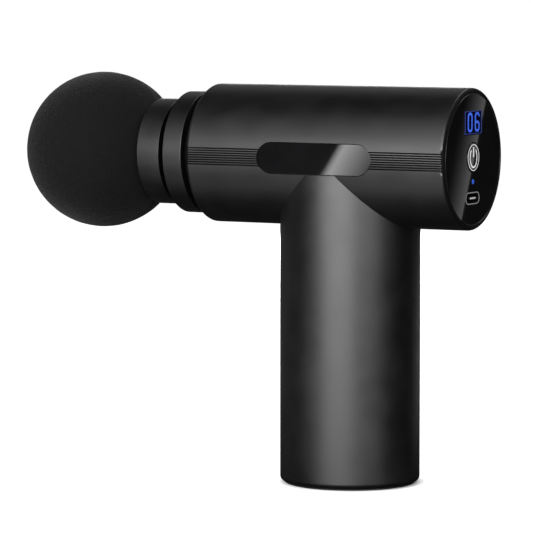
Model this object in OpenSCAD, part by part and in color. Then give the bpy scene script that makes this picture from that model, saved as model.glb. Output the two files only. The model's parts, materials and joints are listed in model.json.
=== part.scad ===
// Mini massage gun. A barrel lies across the top of a round handle. At the front a crank and
// yoke drive a plunger that carries a pull-off foam ball. The panel is at the rear.
// Millimetres, +Z up. +X points to the rear panel and the ball points to -X.
// The origin is the centre of the foot.

/* [Body] */
// Outside diameter of the barrel and of the handle
body_d = 45; // [44:0.5:52]
// Wall of the two half shells
wall = 2.2; // [1.8:0.1:2.4]
// Height of the barrel's axis above the ground
axis_h = 105; // [98:1:125]
// Handle's axis to the front end of the barrel
barrel_front = 48; // [47:0.5:60]
// Handle's axis to the rear end of the barrel
barrel_rear = 43; // [42.5:0.5:55]
// Rounding of the barrel's two ends
end_round = 1.1; // [0.4:0.1:1.2]
// Rounding of the handle's foot
foot_round = 1.6; // [1:0.1:4]
// Thickness of the lip at each open end of the shells
lip_t = 2.4; // [1.8:0.1:3]

/* [Grip band and badge] */
// Number of flutes in the band on each side
flute_count = 8; // [4:1:10]
// Spacing of the flutes round the barrel
flute_pitch = 0.74; // [0.7:0.01:0.9]
// Width of a flute
flute_w = 0.46; // [0.2:0.02:0.5]
// Depth of a flute
flute_depth = 0.4; // [0.2:0.05:0.6]
// Length of the badge
badge_l = 40; // [34:1:50]
// Height of the badge
badge_h = 10; // [8:0.5:13]
// Thickness of the badge
badge_t = 0.9; // [0.6:0.1:1.1]
// How far the badge's long edges stand proud of the barrel
badge_proud = 0.1; // [0.05:0.05:0.4]
// Badge's centre in front of the handle's axis
badge_x = 2.2; // [0:0.2:5]

/* [Foot] */
// Width of the base cap's rim round the foot pad
pad_rim = 1; // [0.7:0.1:3]
// Thickness of the foot pad
pad_t = 1.2; // [0.9:0.1:2]
// How far the pad stands below the shells, with a flange as wide as their flat foot
foot_proud = 0.5; // [0.3:0.1:0.8]
// Rounding of the flange's lower edge
pad_round = 0.15; // [0.05:0.05:0.2]
// Width of the shells' lip that holds the base cap, inside their wall
foot_lip = 1.8; // [1.5:0.1:2]
// Thickness of the base cap's inner flange
cap_flange_t = 2; // [1.5:0.1:3]

/* [Nose] */
// How far the nose ring stands back from the barrel's surface
nose_step = 2.65; // [2:0.05:4]
// Length of the nose ring
nose_len = 6.7; // [5:0.1:9]
// Width of the groove between the nose ring and the barrel
nose_groove = 3.3; // [2:0.1:5]
// Depth of that groove below the nose ring's surface
nose_groove_depth = 2.85; // [2:0.05:4]
// Thickness of the flange behind the shells' front lip
nose_flange_t = 2; // [1.5:0.1:3]
// Bore of the nose ring
nose_bore_d = 23; // [22:0.5:26]
// Wall of the nose ring behind the seal
nose_wall = 2; // [1.5:0.1:3]
// Length of the dust seal
seal_len = 3; // [2:0.5:4]
// Rounding of the nose ring's edges
nose_round = 0.2; // [0.1:0.1:1]

/* [Plunger] */
// Travel of the plunger
stroke = 6; // [4:0.5:8]
// Diameter of the plunger
plunger_d = 18; // [16:0.5:19]
// Bore of the plunger for the stem of a head
socket_d = 11; // [9:0.5:12]
// Depth of that bore
socket_depth = 20; // [18.5:0.5:22]
// Handle's axis to the rear end of the plunger at rest
plunger_tail = 21.5; // [20:0.5:23]
// Length of the slot in the plunger for the yoke's tongue
tongue_slot = 8; // [7:0.5:9]
// Wall of the guide bushing
bushing_wall = 2; // [1.2:0.1:2.2]
// Length of the guide bushing
bushing_len = 18; // [14:0.5:18.5]

/* [Head] */
// Diameter of the foam ball
ball_d = 51.4; // [46:0.2:58]
// Diameter of the head's collar
collar_d = 34.5; // [30:0.5:38]
// Length of the head's collar
collar_len = 8; // [6:0.5:10]
// Gap between the collar and the nose ring at rest
head_gap = 3; // [2:0.1:5]
// How deep the ball is cut off where it sits on the collar
ball_cut = 3.5; // [2:0.1:6]
// Wall of the collar round its hollow back
collar_wall = 2.2; // [1.6:0.1:3]
// Rounding of the collar's edges
collar_round = 0.2; // [0.1:0.1:1]
// Diameter of the core inside the ball
core_d = 16; // [12:0.5:20]
// Length of the core inside the ball
core_len = 20; // [14:1:30]
// Length of the stem in the plunger's bore
stem_len = 18; // [14:0.5:18]
// Diameter of the stem's tenon in the collar
tenon_d = 8; // [6:0.5:9]
// Thickness of an O-ring on the stem
o_ring_t = 1; // [0.8:0.1:1.2]

/* [Crank] */
// Diameter of the crank's roller
roller_d = 10; // [9:0.5:11]
// Height of the crank's roller
roller_h = 4; // [3:0.5:4.5]
// Diameter of the crank pin
pin_d = 4; // [3.5:0.1:5]
// Height of the yoke
yoke_h = 5; // [4.6:0.1:7]
// Thickness of the yoke's front and rear bars
yoke_bar = 3; // [2:0.5:4]
// Gap between the yoke's ends and the frame's cheeks
yoke_gap = 0.6; // [0.4:0.1:1.2]
// Play each side of the roller across the yoke's slot
yoke_play = 0.95; // [0.9:0.05:1.2]
// Width of the yoke's tongue
tongue_w = 10; // [8:0.5:11]
// Thickness of the crank wheel
crank_t = 4.5; // [3.5:0.5:5]
// Diameter of the crank wheel's hub
crank_hub_d = 15; // [14:0.5:17]
// Gap between the crank's counterweight and the frame's cheeks
weight_gap = 1.5; // [1:0.1:3]

/* [Motor] */
// Diameter of the motor's bell
bell_d = 29; // [28:0.5:30.5]
// Height of the motor's bell
bell_h = 16; // [15:0.5:18]
// Wall of the motor's bell
bell_wall = 1.2; // [1:0.1:1.5]
// Thickness of the magnets
magnet_t = 1.2; // [1:0.1:1.4]
// Number of magnets
magnet_count = 14; // [10:2:16]
// Number of stator teeth
tooth_count = 9; // [9:3:12]
// Air gap between the stator and the magnets
air_gap = 0.5; // [0.4:0.1:0.8]
// Diameter of the motor's shaft
shaft_d = 4; // [3:0.1:4.4]
// Outside diameter of the motor's ball bearings
bearing_d = 8; // [7.6:0.1:8.4]
// Height of a ball bearing
bearing_h = 3; // [2.5:0.1:3.5]
// Thickness of the motor's base
motor_base_t = 2.5; // [2:0.1:3]
// Thickness of the frame's plate above the motor
plate_t = 2.5; // [2.2:0.1:3]

/* [Frame] */
// Thickness of the frame's cheeks
cheek_t = 2.5; // [1.8:0.1:2.6]
// Wall of the frame's guide tube
guide_wall = 2.5; // [2:0.1:3.5]
// Thickness of the frame's front flange
flange_t = 3.6; // [3:0.1:4.5]
// How far the damper stands back from the flange's two faces
damper_in = 0.3; // [0.2:0.05:0.5]
// Thickness of the rubber damper round the front flange
damper_t = 1.2; // [1:0.1:1.6]
// Handle's axis to the rear end of the frame
frame_rear = 17; // [16.5:0.5:18]

/* [Battery] */
// Wall of the trays outside the cells
cell_wall = 1.3; // [1.1:0.1:2.5]
// Length of a cell
cell_len = 50; // [40:1:52]
// Gap between the two cells
cell_gap = 0.6; // [0.4:0.1:1]
// Thickness of a tray's floor
tray_floor = 2; // [1.5:0.1:3]
// How deep a cell sits in a tray
tray_depth = 3; // [2:0.5:5]
// Thickness of a cell link
link_t = 0.2; // [0.15:0.05:0.3]
// Thickness of the circuit boards
board_t = 1.6; // [1.2:0.1:2]
// Diameter of a battery lead
lead_d = 1.6; // [1.2:0.1:2]

/* [Rear panel] */
// Thickness of the rear glass
glass_t = 1.6; // [1.4:0.1:2]
// Width of the shells' rim round the glass
rim_w = 1.6; // [1.3:0.1:1.8]
// Width of the display window
window_w = 12.7; // [10:0.1:14]
// Height of the display window
window_h = 7.6; // [6.5:0.1:9]
// Place of the display between the button and the edge of the glass, as a share
window_share = 0.4; // [0.37:0.01:0.45]
// Width of a display digit
digit_w = 4.4; // [3.5:0.1:4.8]
// Height of a display digit
digit_h = 6.2; // [5:0.1:6.4]
// Width of a display segment
segment_w = 0.75; // [0.5:0.05:1]
// Diameter of the power button
button_d = 9.2; // [8:0.1:10]
// Power button's centre above the barrel's axis
button_z = 0.6; // [0:0.1:1]
// Travel of the power button
button_travel = 0.5; // [0.3:0.05:0.7]
// Diameter of the status light
light_d = 1.6; // [1.4:0.1:2.4]
// Status light's centre below the barrel's axis
light_z = 7; // [6.6:0.1:7.6]
// Width of the trim round the charging port
trim_w = 11; // [10.4:0.1:12]
// Height of the trim round the charging port
trim_h = 4.2; // [4.2:0.1:5]
// Corner rounding of that trim
trim_round = 1.6; // [1:0.1:2]
// Place of the charging port between the light and the edge of the glass, as a share
port_share = 0.335; // [0.3:0.005:0.4]
// Depth from the glass to the control board
panel_depth = 9.4; // [8.8:0.1:11]

/* [Fits] */
// Radial clearance of a fixed seat
seat = 0.05; // [0.03:0.01:0.1]
// Radial clearance of a running fit
run = 0.05; // [0.03:0.01:0.08]
// Gap round a moving piece that guides nothing
free = 0.3; // [0.25:0.05:0.4]
// Radial clearance of a piece that slides into the shells
slip = 0.1; // [0.05:0.01:0.15]
// Gap between two faces that stop against each other
face_gap = 0.1; // [0.05:0.01:0.15]
// Radial clearance of a hole round a screw's thread
thread_gap = 0.15; // [0.1:0.01:0.25]
// Radial clearance of a recess round a screw's head
recess_gap = 0.1; // [0.05:0.01:0.2]
// Thread diameter of the screws
screw_d = 2.3; // [2:0.1:2.6]
// Head diameter of the screws
screw_head_d = 4; // [3.6:0.1:4.4]
// Head height of the screws
screw_head_h = 1.3; // [1:0.1:1.4]

/* [Hidden] */
$fn = 96;

// Body
body_r = body_d / 2;
bore_r = body_r - wall;
x_front = -barrel_front;
x_rear = barrel_rear;
shell_foot = foot_proud;
lip_top = shell_foot + lip_t;
foot_hole_r = bore_r - foot_lip;
pad_r = foot_hole_r - pad_rim;
far = 400;

// Nose
nose_r = body_r - nose_step;
neck_r = nose_r - nose_groove_depth;

// Badge
badge_gap = 0.1;
badge_face = sqrt(body_r * body_r - badge_h * badge_h / 4) + badge_proud;
badge_floor = badge_face - badge_t;
head_y = badge_floor - face_gap;

// Flutes, in front of the badge and behind it, with their ends tucked under it
flute_tuck = 2;
flute_runs = [
    [x_front - 1, -badge_x - badge_l / 2 + flute_tuck],
    [-badge_x + badge_l / 2 - flute_tuck, x_rear + 1]
];

// Head and plunger along the barrel, at rest
x_nose_rear = x_front - nose_groove;
x_nose = x_nose_rear - nose_len;
x_collar_rear = x_nose - head_gap;
x_collar = x_collar_rear - collar_len;
x_ball = x_collar - ball_d / 2 + ball_cut;
x_plunger = x_collar_rear + face_gap;
x_tail = -plunger_tail;
x_nose_flange = x_front + lip_t + face_gap;
x_frame = x_nose_flange + nose_flange_t + 0.2;
x_flange_end = x_frame + flange_t;
plunger_r = plunger_d / 2;
bushing_r = plunger_r + run + bushing_wall;
guide_r = bushing_r + seat + guide_wall;
tenon_len = 0.3 * core_len;
o_ring_at = [0.28 * stem_len, 0.67 * stem_len];

// Drive stack downwards from the barrel's axis
throw_r = stroke / 2;
roller_r = roller_d / 2;
pin_r = pin_d / 2;
yoke_pin_r = tongue_w * 0.15;
slot_half_x = roller_r + yoke_play;
slot_half_y = throw_r + roller_r + 0.7;
yoke_bot = axis_h - yoke_h / 2;
yoke_top = axis_h + yoke_h / 2;
roller_bot = axis_h - roller_h / 2;
roller_top = axis_h + roller_h / 2;
pin_end_r = pin_r - 0.4;
clip_bot = roller_top + face_gap;
clip_t = 0.6;
crank_top = yoke_bot - 1;
crank_bot = crank_top - crank_t;
plate_top = crank_bot - 1;
plate_bot = plate_top - plate_t;
motor_bot = plate_bot - motor_base_t;
bell_top = motor_bot - 0.8;
bell_bot = bell_top - bell_h;
bell_floor = 1.5;
bell_r = bell_d / 2;
magnet_r = bell_r - bell_wall - seat;
stator_r = magnet_r - magnet_t - air_gap;
bearing_r = bearing_d / 2;
tube_r = bearing_r + seat + 1.1;
tube_bot = bell_bot + bell_floor + 1.4;
coil_end = 3;
stator_bot = tube_bot + coil_end;
stator_top = motor_bot - coil_end;
shaft_r = shaft_d / 2 - run;
tooth_w = 0.19 * stator_r;
hub_r = tube_r + seat + bearing_r * 0.45;
shoe_r = stator_r - 0.9;
coil_w = 1.6 * tooth_w;

// Frame
frame_half = sqrt(bore_r * bore_r - (axis_h - plate_bot) * (axis_h - plate_bot)) - free;
cheek_in = frame_half - cheek_t;
flange_r = bore_r - slip - damper_t;
cheek_rise = 0.4 * bore_r;
weight_r = cheek_in - weight_gap;
x_cheek = x_flange_end - damper_in + seat;
land_r = 3.5;
land_y = bore_r - 1.8;
land_gap = badge_l / 3;
screw_x = [-badge_x - land_gap, -badge_x + land_gap];
shell_screw_l = 4.2;
motor_screw_r = 9;

// Battery
tray_r = bore_r - free;
cell_r = (tray_r - cell_wall - cell_gap / 2) / 2;
cell_y = cell_r + cell_gap / 2;
post_r = cell_wall + 0.2;
post_at = tray_r - 3 * post_r;
link_w = 0.6 * cell_r;
tab_l = 1.1 * cell_r;
cap_top = lip_top + cap_flange_t;
cell_bot = cap_top + tray_floor + link_t;
cell_top = cell_bot + cell_len;
tray_top = cell_top + link_t + tray_floor;
guard_bot = tray_top + 1;
guard_top = guard_bot + board_t;
guard_r = bore_r - 1.8;
lead_x = bell_r + lead_d / 2 + 0.6;
lead_y = [1.25 * lead_d, 2.5 * lead_d];
lead_z = motor_bot + motor_base_t / 2;
lead_bend = 4;
wire_d = 1.3;
motor_lead_y = [-3.8 * wire_d, -2.3 * wire_d, -0.8 * wire_d];
plug_m = 1.2;
plug_h = 4.8;
base_screw_x = 0.6 * foot_hole_r;

// Rear panel
glass_r = body_r - rim_w;
glass_back = x_rear - glass_t;
board_back = glass_back - panel_depth;
board_front = board_back - board_t;
board_r = bore_r - 1.5;
plug_front = board_front - plug_h;
panel_wall = 2.2;
boss_r = 2.2;
boss_l = 6;
boss_at = bore_r - 2 * boss_r;
chip_h = 1.5;
rib_x = board_back + 0.4 * panel_depth;
rib_w = 1.4;
rib_h = 0.8;
button_r = button_d / 2;
button_up = button_z + button_r;
light_down = light_z + light_d / 2;
z_window = axis_h + button_up + window_share * (glass_r - button_up);
z_button = axis_h + button_z;
z_light = axis_h - light_z;
z_port = axis_h - light_down - port_share * (glass_r - light_down);
mark_t = 0.06;
port_w = 8.94;
port_h = 3.26;
port_wall = 0.3;
port_core = 4;
port_bar_w = 5.4;
port_bar_t = 0.6;
port_in = 0.5;
tongue_in = 0.1;
module_face = x_rear - 0.15;
lit_t = 0.1;
button_face = x_rear + 0.15;
flange_back = glass_back - 0.3;
switch_h = 3.5;
switch_w = 6;
switch_top = board_back + switch_h;
push_r = 1.6;
push_depth = 1.5;
push_len = 2.2;
digit_gap = 0.9;
border_in = 0.15;
border_w = 0.3;

// Locating pegs between the shells, as [x, z]
peg_in = bore_r - 1.9;
peg_at = [
    [-peg_in, cell_bot + cell_len / 2],
    [peg_in, cell_bot + cell_len / 2],
    [-peg_in, (guard_top + plate_bot) / 2],
    [x_front * 2 / 3, axis_h + peg_in],
    [x_rear / 2, axis_h + peg_in],
    [x_front * 2 / 3, axis_h - peg_in]
];
peg_r = 1.1;
peg_boss_r = 2.3;
peg_len = 4;
peg_reach = 3;

// Colours
shell_c = [0.16, 0.16, 0.17];
gloss_c = [0.05, 0.05, 0.06];
rubber_c = [0.1, 0.1, 0.1];
foam_c = [0.14, 0.14, 0.14];
steel_c = [0.7, 0.71, 0.73];
frame_c = [0.35, 0.36, 0.38];
copper_c = [0.72, 0.42, 0.2];
board_c = [0.1, 0.32, 0.18];
plastic_c = [0.85, 0.85, 0.82];
cell_c = [0.2, 0.35, 0.6];
blue_c = [0.22, 0.35, 0.85];
white_c = [0.9, 0.9, 0.92];

// A round bar along X, between two positions
module rod_x(r, x0, x1, y = 0, z = axis_h) {
    translate([x0, y, z])
        rotate([0, 90, 0])
            cylinder(r = r, h = x1 - x0);
}

// A round bar along Y, between two positions
module rod_y(r, y0, y1, x, z) {
    translate([x, y1, z])
        rotate([90, 0, 0])
            cylinder(r = r, h = y1 - y0);
}

// A round bar along Z, between two heights
module rod_z(r, z0, z1, x = 0, y = 0) {
    translate([x, y, z0])
        cylinder(r = r, h = z1 - z0);
}

// A tube along X
module tube_x(ro, ri, x0, x1, y = 0, z = axis_h) {
    difference() {
        rod_x(ro, x0, x1, y, z);
        rod_x(ri, x0 - 1, x1 + 1, y, z);
    }
}

// A tube along Z
module tube_z(ro, ri, z0, z1, x = 0, y = 0) {
    difference() {
        rod_z(ro, z0, z1, x, y);
        rod_z(ri, z0 - 1, z1 + 1, x, y);
    }
}

// A box between two corners
module box(a, b) {
    translate(a)
        cube(b - a);
}

// Half section of a bar with a rounding at its bottom and top edges
module round_section(r, h, low, high) {
    translate([0, low])
        square([r, h - low - high]);
    if (low > 0) {
        square([r - low, h - high]);
        translate([r - low, low])
            circle(low);
    }
    if (high > 0) {
        translate([0, low])
            square([r - high, h - low]);
        translate([r - high, h - high])
            circle(high);
    }
}

// A bar along Z with rounded edges
module round_z(r, z0, z1, low, high) {
    translate([0, 0, z0])
        rotate_extrude()
            round_section(r, z1 - z0, low, high);
}

// A bar along X with rounded edges
module round_x(r, x0, x1, low, high) {
    translate([x0, 0, axis_h])
        rotate([0, 90, 0])
            rotate_extrude()
                round_section(r, x1 - x0, low, high);
}

// A flat outline with round ends
module pill(l, h) {
    square([l - h, h], center = true);
    translate([(l - h) / 2, 0])
        circle(h / 2);
    translate([-(l - h) / 2, 0])
        circle(h / 2);
}

// A flat outline with rounded corners
module round_rect(w, h, r) {
    square([w - 2 * r, h], center = true);
    square([w, h - 2 * r], center = true);
    for (x = [r - w / 2, w / 2 - r])
        for (y = [r - h / 2, h / 2 - r])
            translate([x, y])
                circle(r);
}

// A bar along X with rounded corners, on the rear panel
module round_rect_x(w, h, r, x0, x1, z) {
    translate([x0, 0, z])
        rotate([90, 0, 90])
            linear_extrude(x1 - x0)
                round_rect(w, h, r);
}

// A pill-shaped bar along X, on the rear panel
module pill_x(w, h, x0, x1, z) {
    translate([x0, 0, z])
        rotate([90, 0, 90])
            linear_extrude(x1 - x0)
                pill(w, h);
}

// A pill-shaped bar along Y in the left wall of the barrel, between two depths
module pill_y(l, h, y0, y1) {
    translate([-badge_x, -y0, axis_h])
        rotate([90, 0, 0])
            linear_extrude(y1 - y0)
                pill(l, h);
}

// A screw along Y on the left side, its head's outer face at y0
module screw_y(y0, len, x, z) {
    rod_y(screw_head_d / 2, y0, y0 + screw_head_h, x, z);
    rod_y(screw_d / 2, y0 + screw_head_h, y0 + screw_head_h + len, x, z);
}

// Left half of the body, with pegs or with peg holes
module half_shell(pegs) {
    difference() {
        union() {
            intersection() {
                difference() {
                    union() {
                        round_x(body_r, x_front, x_rear, end_round, end_round);
                        round_z(body_r, shell_foot, axis_h - 2, foot_round, 0);
                    }
                    rod_x(bore_r, x_front + lip_t, x_rear + 1);
                    rod_x(neck_r + seat, x_front - 1, x_front + lip_t + 1);
                    rod_x(glass_r + slip, glass_back, x_rear + 1);
                    rod_z(bore_r, lip_top, axis_h - 1.5);
                    rod_z(foot_hole_r, shell_foot - 1, lip_top + 1);
                }
                box([-far, -far, -1], [far, 0, far]);
            }
            intersection() {
                tube_x(bore_r + 0.3, bore_r - rib_h, rib_x, rib_x + rib_w);
                box([-far, -far, -1], [far, 0, far]);
            }
            for (x = screw_x)
                rod_y(land_r, -body_r + 0.8, -land_y, x, axis_h);
            for (p = peg_at)
                rod_y(peg_boss_r, -peg_len, 0, p[0], p[1]);
            if (pegs)
                for (p = peg_at)
                    rod_y(peg_r, -peg_len, peg_reach, p[0], p[1]);
        }
        pill_y(badge_l + 2 * badge_gap, badge_h + 2 * badge_gap, badge_floor, body_r + 1);
        for (i = [0:flute_count - 1])
            translate([0, 0, axis_h])
                rotate([(i - (flute_count - 1) / 2) * flute_pitch / body_r * 180 / PI, 0, 0])
                    for (x = flute_runs)
                        box(
                            [x[0], -body_r - 1, -flute_w / 2],
                            [x[1], -body_r + flute_depth, flute_w / 2]
                        );
        for (x = screw_x) {
            rod_y(screw_head_d / 2 + recess_gap, -body_r - 1, -head_y + screw_head_h, x, axis_h);
            rod_y(screw_d / 2 + thread_gap, -body_r - 1, -land_y + 1, x, axis_h);
        }
        if (!pegs)
            for (p = peg_at)
                rod_y(peg_r + seat, -peg_reach - 0.3, 1, p[0], p[1]);
    }
}

module left_shell() {
    color(shell_c)
        half_shell(true);
}

module right_shell() {
    color(shell_c)
        mirror([0, 1, 0])
            half_shell(false);
}

module badge() {
    pill_y(badge_l, badge_h, badge_floor, badge_face);
}

module left_badge() {
    color(gloss_c)
        badge();
}

module right_badge() {
    color(gloss_c)
        mirror([0, 1, 0])
            badge();
}

module nose_ring() {
    color(shell_c)
        difference() {
            union() {
                round_x(nose_r, x_nose, x_nose_rear, nose_round, nose_round);
                rod_x(neck_r, x_nose + 1, x_nose_flange + 0.5);
                rod_x(bore_r - slip, x_nose_flange, x_nose_flange + nose_flange_t);
            }
            rod_x(nose_bore_d / 2, x_nose - 1, x_nose_flange + nose_flange_t + 1);
            rod_x(neck_r - nose_wall, x_nose + seal_len + 2, x_front + far);
        }
}

module dust_seal() {
    color(rubber_c)
        tube_x(nose_bore_d / 2 - seat, plunger_r + free, x_nose + 1, x_nose + 1 + seal_len);
}

module base_cap() {
    color(shell_c)
        difference() {
            union() {
                rod_z(foot_hole_r - seat, shell_foot, lip_top + 0.5);
                rod_z(bore_r - slip, lip_top, cap_top);
            }
            rod_z(pad_r + seat, shell_foot - 1, pad_t);
            for (x = [-base_screw_x, base_screw_x]) {
                rod_z(screw_head_d / 2 + recess_gap, shell_foot, pad_t + screw_head_h + face_gap, x, 0);
                rod_z(screw_d / 2 + thread_gap, shell_foot, cap_top + 1, x, 0);
            }
        }
}

module foot_pad() {
    color(rubber_c) {
        rod_z(pad_r, 0, pad_t);
        round_z(body_r - foot_round, 0, shell_foot - seat, pad_round, 0);
    }
}

module base_screws() {
    z0 = pad_t + face_gap;
    color(steel_c)
        for (x = [-base_screw_x, base_screw_x]) {
            rod_z(screw_head_d / 2, z0, z0 + screw_head_h, x, 0);
            rod_z(screw_d / 2, z0 + screw_head_h, cap_top + tray_floor + 1, x, 0);
        }
}

module drive_frame() {
    color(frame_c)
        difference() {
            union() {
                rod_x(flange_r, x_frame, x_flange_end);
                rod_x(guide_r, x_frame, x_frame + bushing_len + 1);
                box([x_cheek, -frame_half, plate_bot], [frame_rear, frame_half, plate_top]);
                for (y = [cheek_in, -frame_half])
                    box([x_cheek, y, plate_bot], [frame_rear, y + cheek_t, axis_h + cheek_rise]);
                for (x = screw_x) {
                    rod_y(land_r, cheek_in, land_y - 0.05, x, axis_h);
                    rod_y(land_r, -land_y + 0.05, -cheek_in, x, axis_h);
                }
            }
            rod_x(bushing_r + seat, x_frame - 1, x_frame + bushing_len + 2);
            rod_z(bearing_r + 1, plate_bot - 1, plate_top + 1);
            for (a = [45:90:315]) {
                x = motor_screw_r * cos(a);
                y = motor_screw_r * sin(a);
                rod_z(screw_d / 2 + thread_gap, plate_bot - 1, plate_top + 1, x, y);
                rod_z(
                    screw_head_d / 2 + recess_gap, plate_top - screw_head_h - face_gap,
                    plate_top + 1, x, y
                );
            }
            for (x = screw_x)
                rod_y(screw_d / 2 + seat, -body_r, body_r, x, axis_h);
        }
}

module frame_damper() {
    color(rubber_c)
        tube_x(bore_r - seat, flange_r + seat, x_frame + damper_in, x_flange_end - damper_in);
}

module guide_bushing() {
    color([0.75, 0.6, 0.35])
        tube_x(bushing_r, plunger_r + run, x_frame + face_gap, x_frame + face_gap + bushing_len);
}

module shell_screws() {
    color(steel_c)
        for (side = [0, 1])
            mirror([0, side, 0])
                for (x = screw_x)
                    screw_y(-head_y, shell_screw_l, x, axis_h);
}

module motor_base() {
    color(frame_c)
        difference() {
            union() {
                rod_z(bell_r + 0.4, motor_bot, plate_bot);
                rod_z(tube_r, tube_bot, motor_bot + 0.5);
            }
            rod_z(bearing_r - 0.7, tube_bot - 1, plate_bot + 1);
            rod_z(bearing_r + seat, tube_bot - 1, tube_bot + bearing_h);
            rod_z(bearing_r + seat, plate_bot - bearing_h, plate_bot + 1);
            for (a = [45:90:315])
                rod_z(
                    screw_d / 2 + seat, motor_bot - 1, plate_bot + 1,
                    motor_screw_r * cos(a), motor_screw_r * sin(a)
                );
        }
}

// One stator tooth, as wide as asked
module tooth(i, w, r0, r1, z0, z1) {
    rotate([0, 0, i * 360 / tooth_count])
        box([r0, -w / 2, z0], [r1, w / 2, z1]);
}

module motor_stator() {
    slot_w = 2 * PI * stator_r / tooth_count - 1.2;
    color([0.45, 0.45, 0.48])
        difference() {
            union() {
                rod_z(hub_r, stator_bot, stator_top);
                for (i = [0:tooth_count - 1])
                    tooth(i, tooth_w, hub_r - 0.5, shoe_r + 0.4, stator_bot, stator_top);
                intersection() {
                    tube_z(stator_r, shoe_r, stator_bot, stator_top);
                    union()
                        for (i = [0:tooth_count - 1])
                            tooth(i, slot_w, 2, stator_r + 1, stator_bot - 1, stator_top + 1);
                }
            }
            rod_z(tube_r + seat, stator_bot - 1, stator_top + 1);
        }
}

module motor_windings() {
    color(copper_c)
        for (i = [0:tooth_count - 1])
            difference() {
                tooth(i, coil_w, hub_r + 0.6, shoe_r - 0.3, stator_bot - 1, stator_top + 1);
                tooth(
                    i, tooth_w + 2 * seat, hub_r - 1, shoe_r + 1,
                    stator_bot - seat, stator_top + seat
                );
            }
}

module motor_bearings() {
    color(steel_c) {
        tube_z(bearing_r, shaft_d / 2, tube_bot, tube_bot + bearing_h);
        tube_z(bearing_r, shaft_d / 2, plate_bot - bearing_h, plate_bot);
    }
}

module motor_screws() {
    head_top = plate_top - face_gap;
    head_bot = head_top - screw_head_h;
    color(steel_c)
        for (a = [45:90:315]) {
            x = motor_screw_r * cos(a);
            y = motor_screw_r * sin(a);
            rod_z(screw_head_d / 2, head_bot, head_top, x, y);
            rod_z(screw_d / 2, motor_bot + 0.2, head_bot, x, y);
        }
}

module motor_leads() {
    color([0.8, 0.65, 0.15])
        for (y = motor_lead_y)
            rod_x(wire_d / 2, bell_r + 0.4, plug_front, y, lead_z);
}

module battery_cells() {
    color(cell_c)
        for (y = [-cell_y, cell_y])
            rod_z(cell_r, cell_bot, cell_top, 0, y);
}

// Pockets for the two cells, between two heights
module cell_pockets(z0, z1) {
    for (y = [-cell_y, cell_y])
        rod_z(cell_r + seat, z0, z1, 0, y);
    box([-cell_r / 3, -cell_y, z0], [cell_r / 3, cell_y, z1]);
}

module lower_tray() {
    color(plastic_c)
        difference() {
            rod_z(tray_r, cap_top, cell_bot + tray_depth);
            cell_pockets(cap_top + tray_floor, cell_bot + tray_depth + 1);
            for (x = [-base_screw_x, base_screw_x])
                rod_z(screw_d / 2 + seat, cap_top - 1, cell_bot + tray_depth + 1, x, 0);
        }
}

module upper_tray() {
    color(plastic_c) {
        difference() {
            rod_z(tray_r, cell_top - tray_depth, tray_top);
            cell_pockets(cell_top - tray_depth - 1, cell_top + link_t);
        }
        for (a = [45:90:315])
            rod_z(post_r, tray_top - 0.5, guard_bot, post_at * cos(a), post_at * sin(a));
    }
}

module cell_links() {
    color(steel_c) {
        box([-link_w / 2, -cell_y, cell_bot - link_t], [link_w / 2, cell_y, cell_bot]);
        for (y = [-cell_y, cell_y])
            box(
                [-link_w / 2, y - tab_l / 2, cell_top],
                [link_w / 2, y + tab_l / 2, cell_top + link_t]
            );
    }
}

module protection_board() {
    color(board_c)
        rod_z(guard_r, guard_bot, guard_top);
}

module protection_parts() {
    u = guard_r / 20;
    top = guard_top + chip_h;
    color(rubber_c) {
        box([-7 * u, -6 * u, guard_top], [-1 * u, 1 * u, top]);
        box([2 * u, -8 * u, guard_top], [7 * u, -3 * u, top]);
        box([1 * u, 3 * u, guard_top], [8 * u, 9 * u, top]);
        box([-9 * u, 4 * u, guard_top], [-4 * u, 9 * u, top]);
    }
}

module battery_leads() {
    r = lead_d / 2;
    color([0.75, 0.12, 0.1])
        for (y = lead_y) {
            rod_z(r, guard_top, lead_z - lead_bend, lead_x, y);
            translate([lead_x + lead_bend, y, lead_z - lead_bend])
                rotate([90, 0, 0])
                    rotate([0, 0, 90])
                        rotate_extrude(angle = 90)
                            translate([lead_bend, 0])
                                circle(r);
            rod_x(r, lead_x + lead_bend, plug_front, y, lead_z);
        }
}

module control_board() {
    color(board_c)
        difference() {
            rod_x(board_r, board_front, board_back);
            panel_bosses() rod_x(screw_d / 2 + thread_gap, board_front - 1, board_back + 1, 0, 0);
        }
}

// Copies a bar on the barrel's axis plane to the four bosses of the panel frame
module panel_bosses() {
    for (a = [35, 145, 215, 325])
        translate([0, boss_at * cos(a), axis_h + boss_at * sin(a)])
            children();
}

module board_chips() {
    u = board_r / 20;
    low = board_front - chip_h;
    tall = board_front - 2.6 * chip_h;
    color(rubber_c) {
        box([low, -4 * u, axis_h - 2 * u], [board_front, 4 * u, axis_h + 6 * u]);
        box([tall, 7 * u, axis_h - 4 * u], [board_front, 13 * u, axis_h + 2 * u]);
        box([low, -13 * u, axis_h - 5 * u], [board_front, -7 * u, axis_h]);
        box([low, -5 * u, axis_h + 10 * u], [board_front, 5 * u, axis_h + 14 * u]);
    }
}

module board_connectors() {
    color(plastic_c) {
        for (y = [[motor_lead_y[0], motor_lead_y[2]], lead_y])
            box(
                [plug_front, y[0] - plug_m, lead_z - plug_h / 2],
                [board_front, y[1] + plug_m, lead_z + plug_h / 2]
            );
    }
}

module board_screws() {
    color(steel_c)
        panel_bosses() {
            rod_x(screw_head_d / 2, board_front - screw_head_h, board_front, 0, 0);
            rod_x(screw_d / 2, board_front, board_back + boss_l - 1, 0, 0);
        }
}

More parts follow.
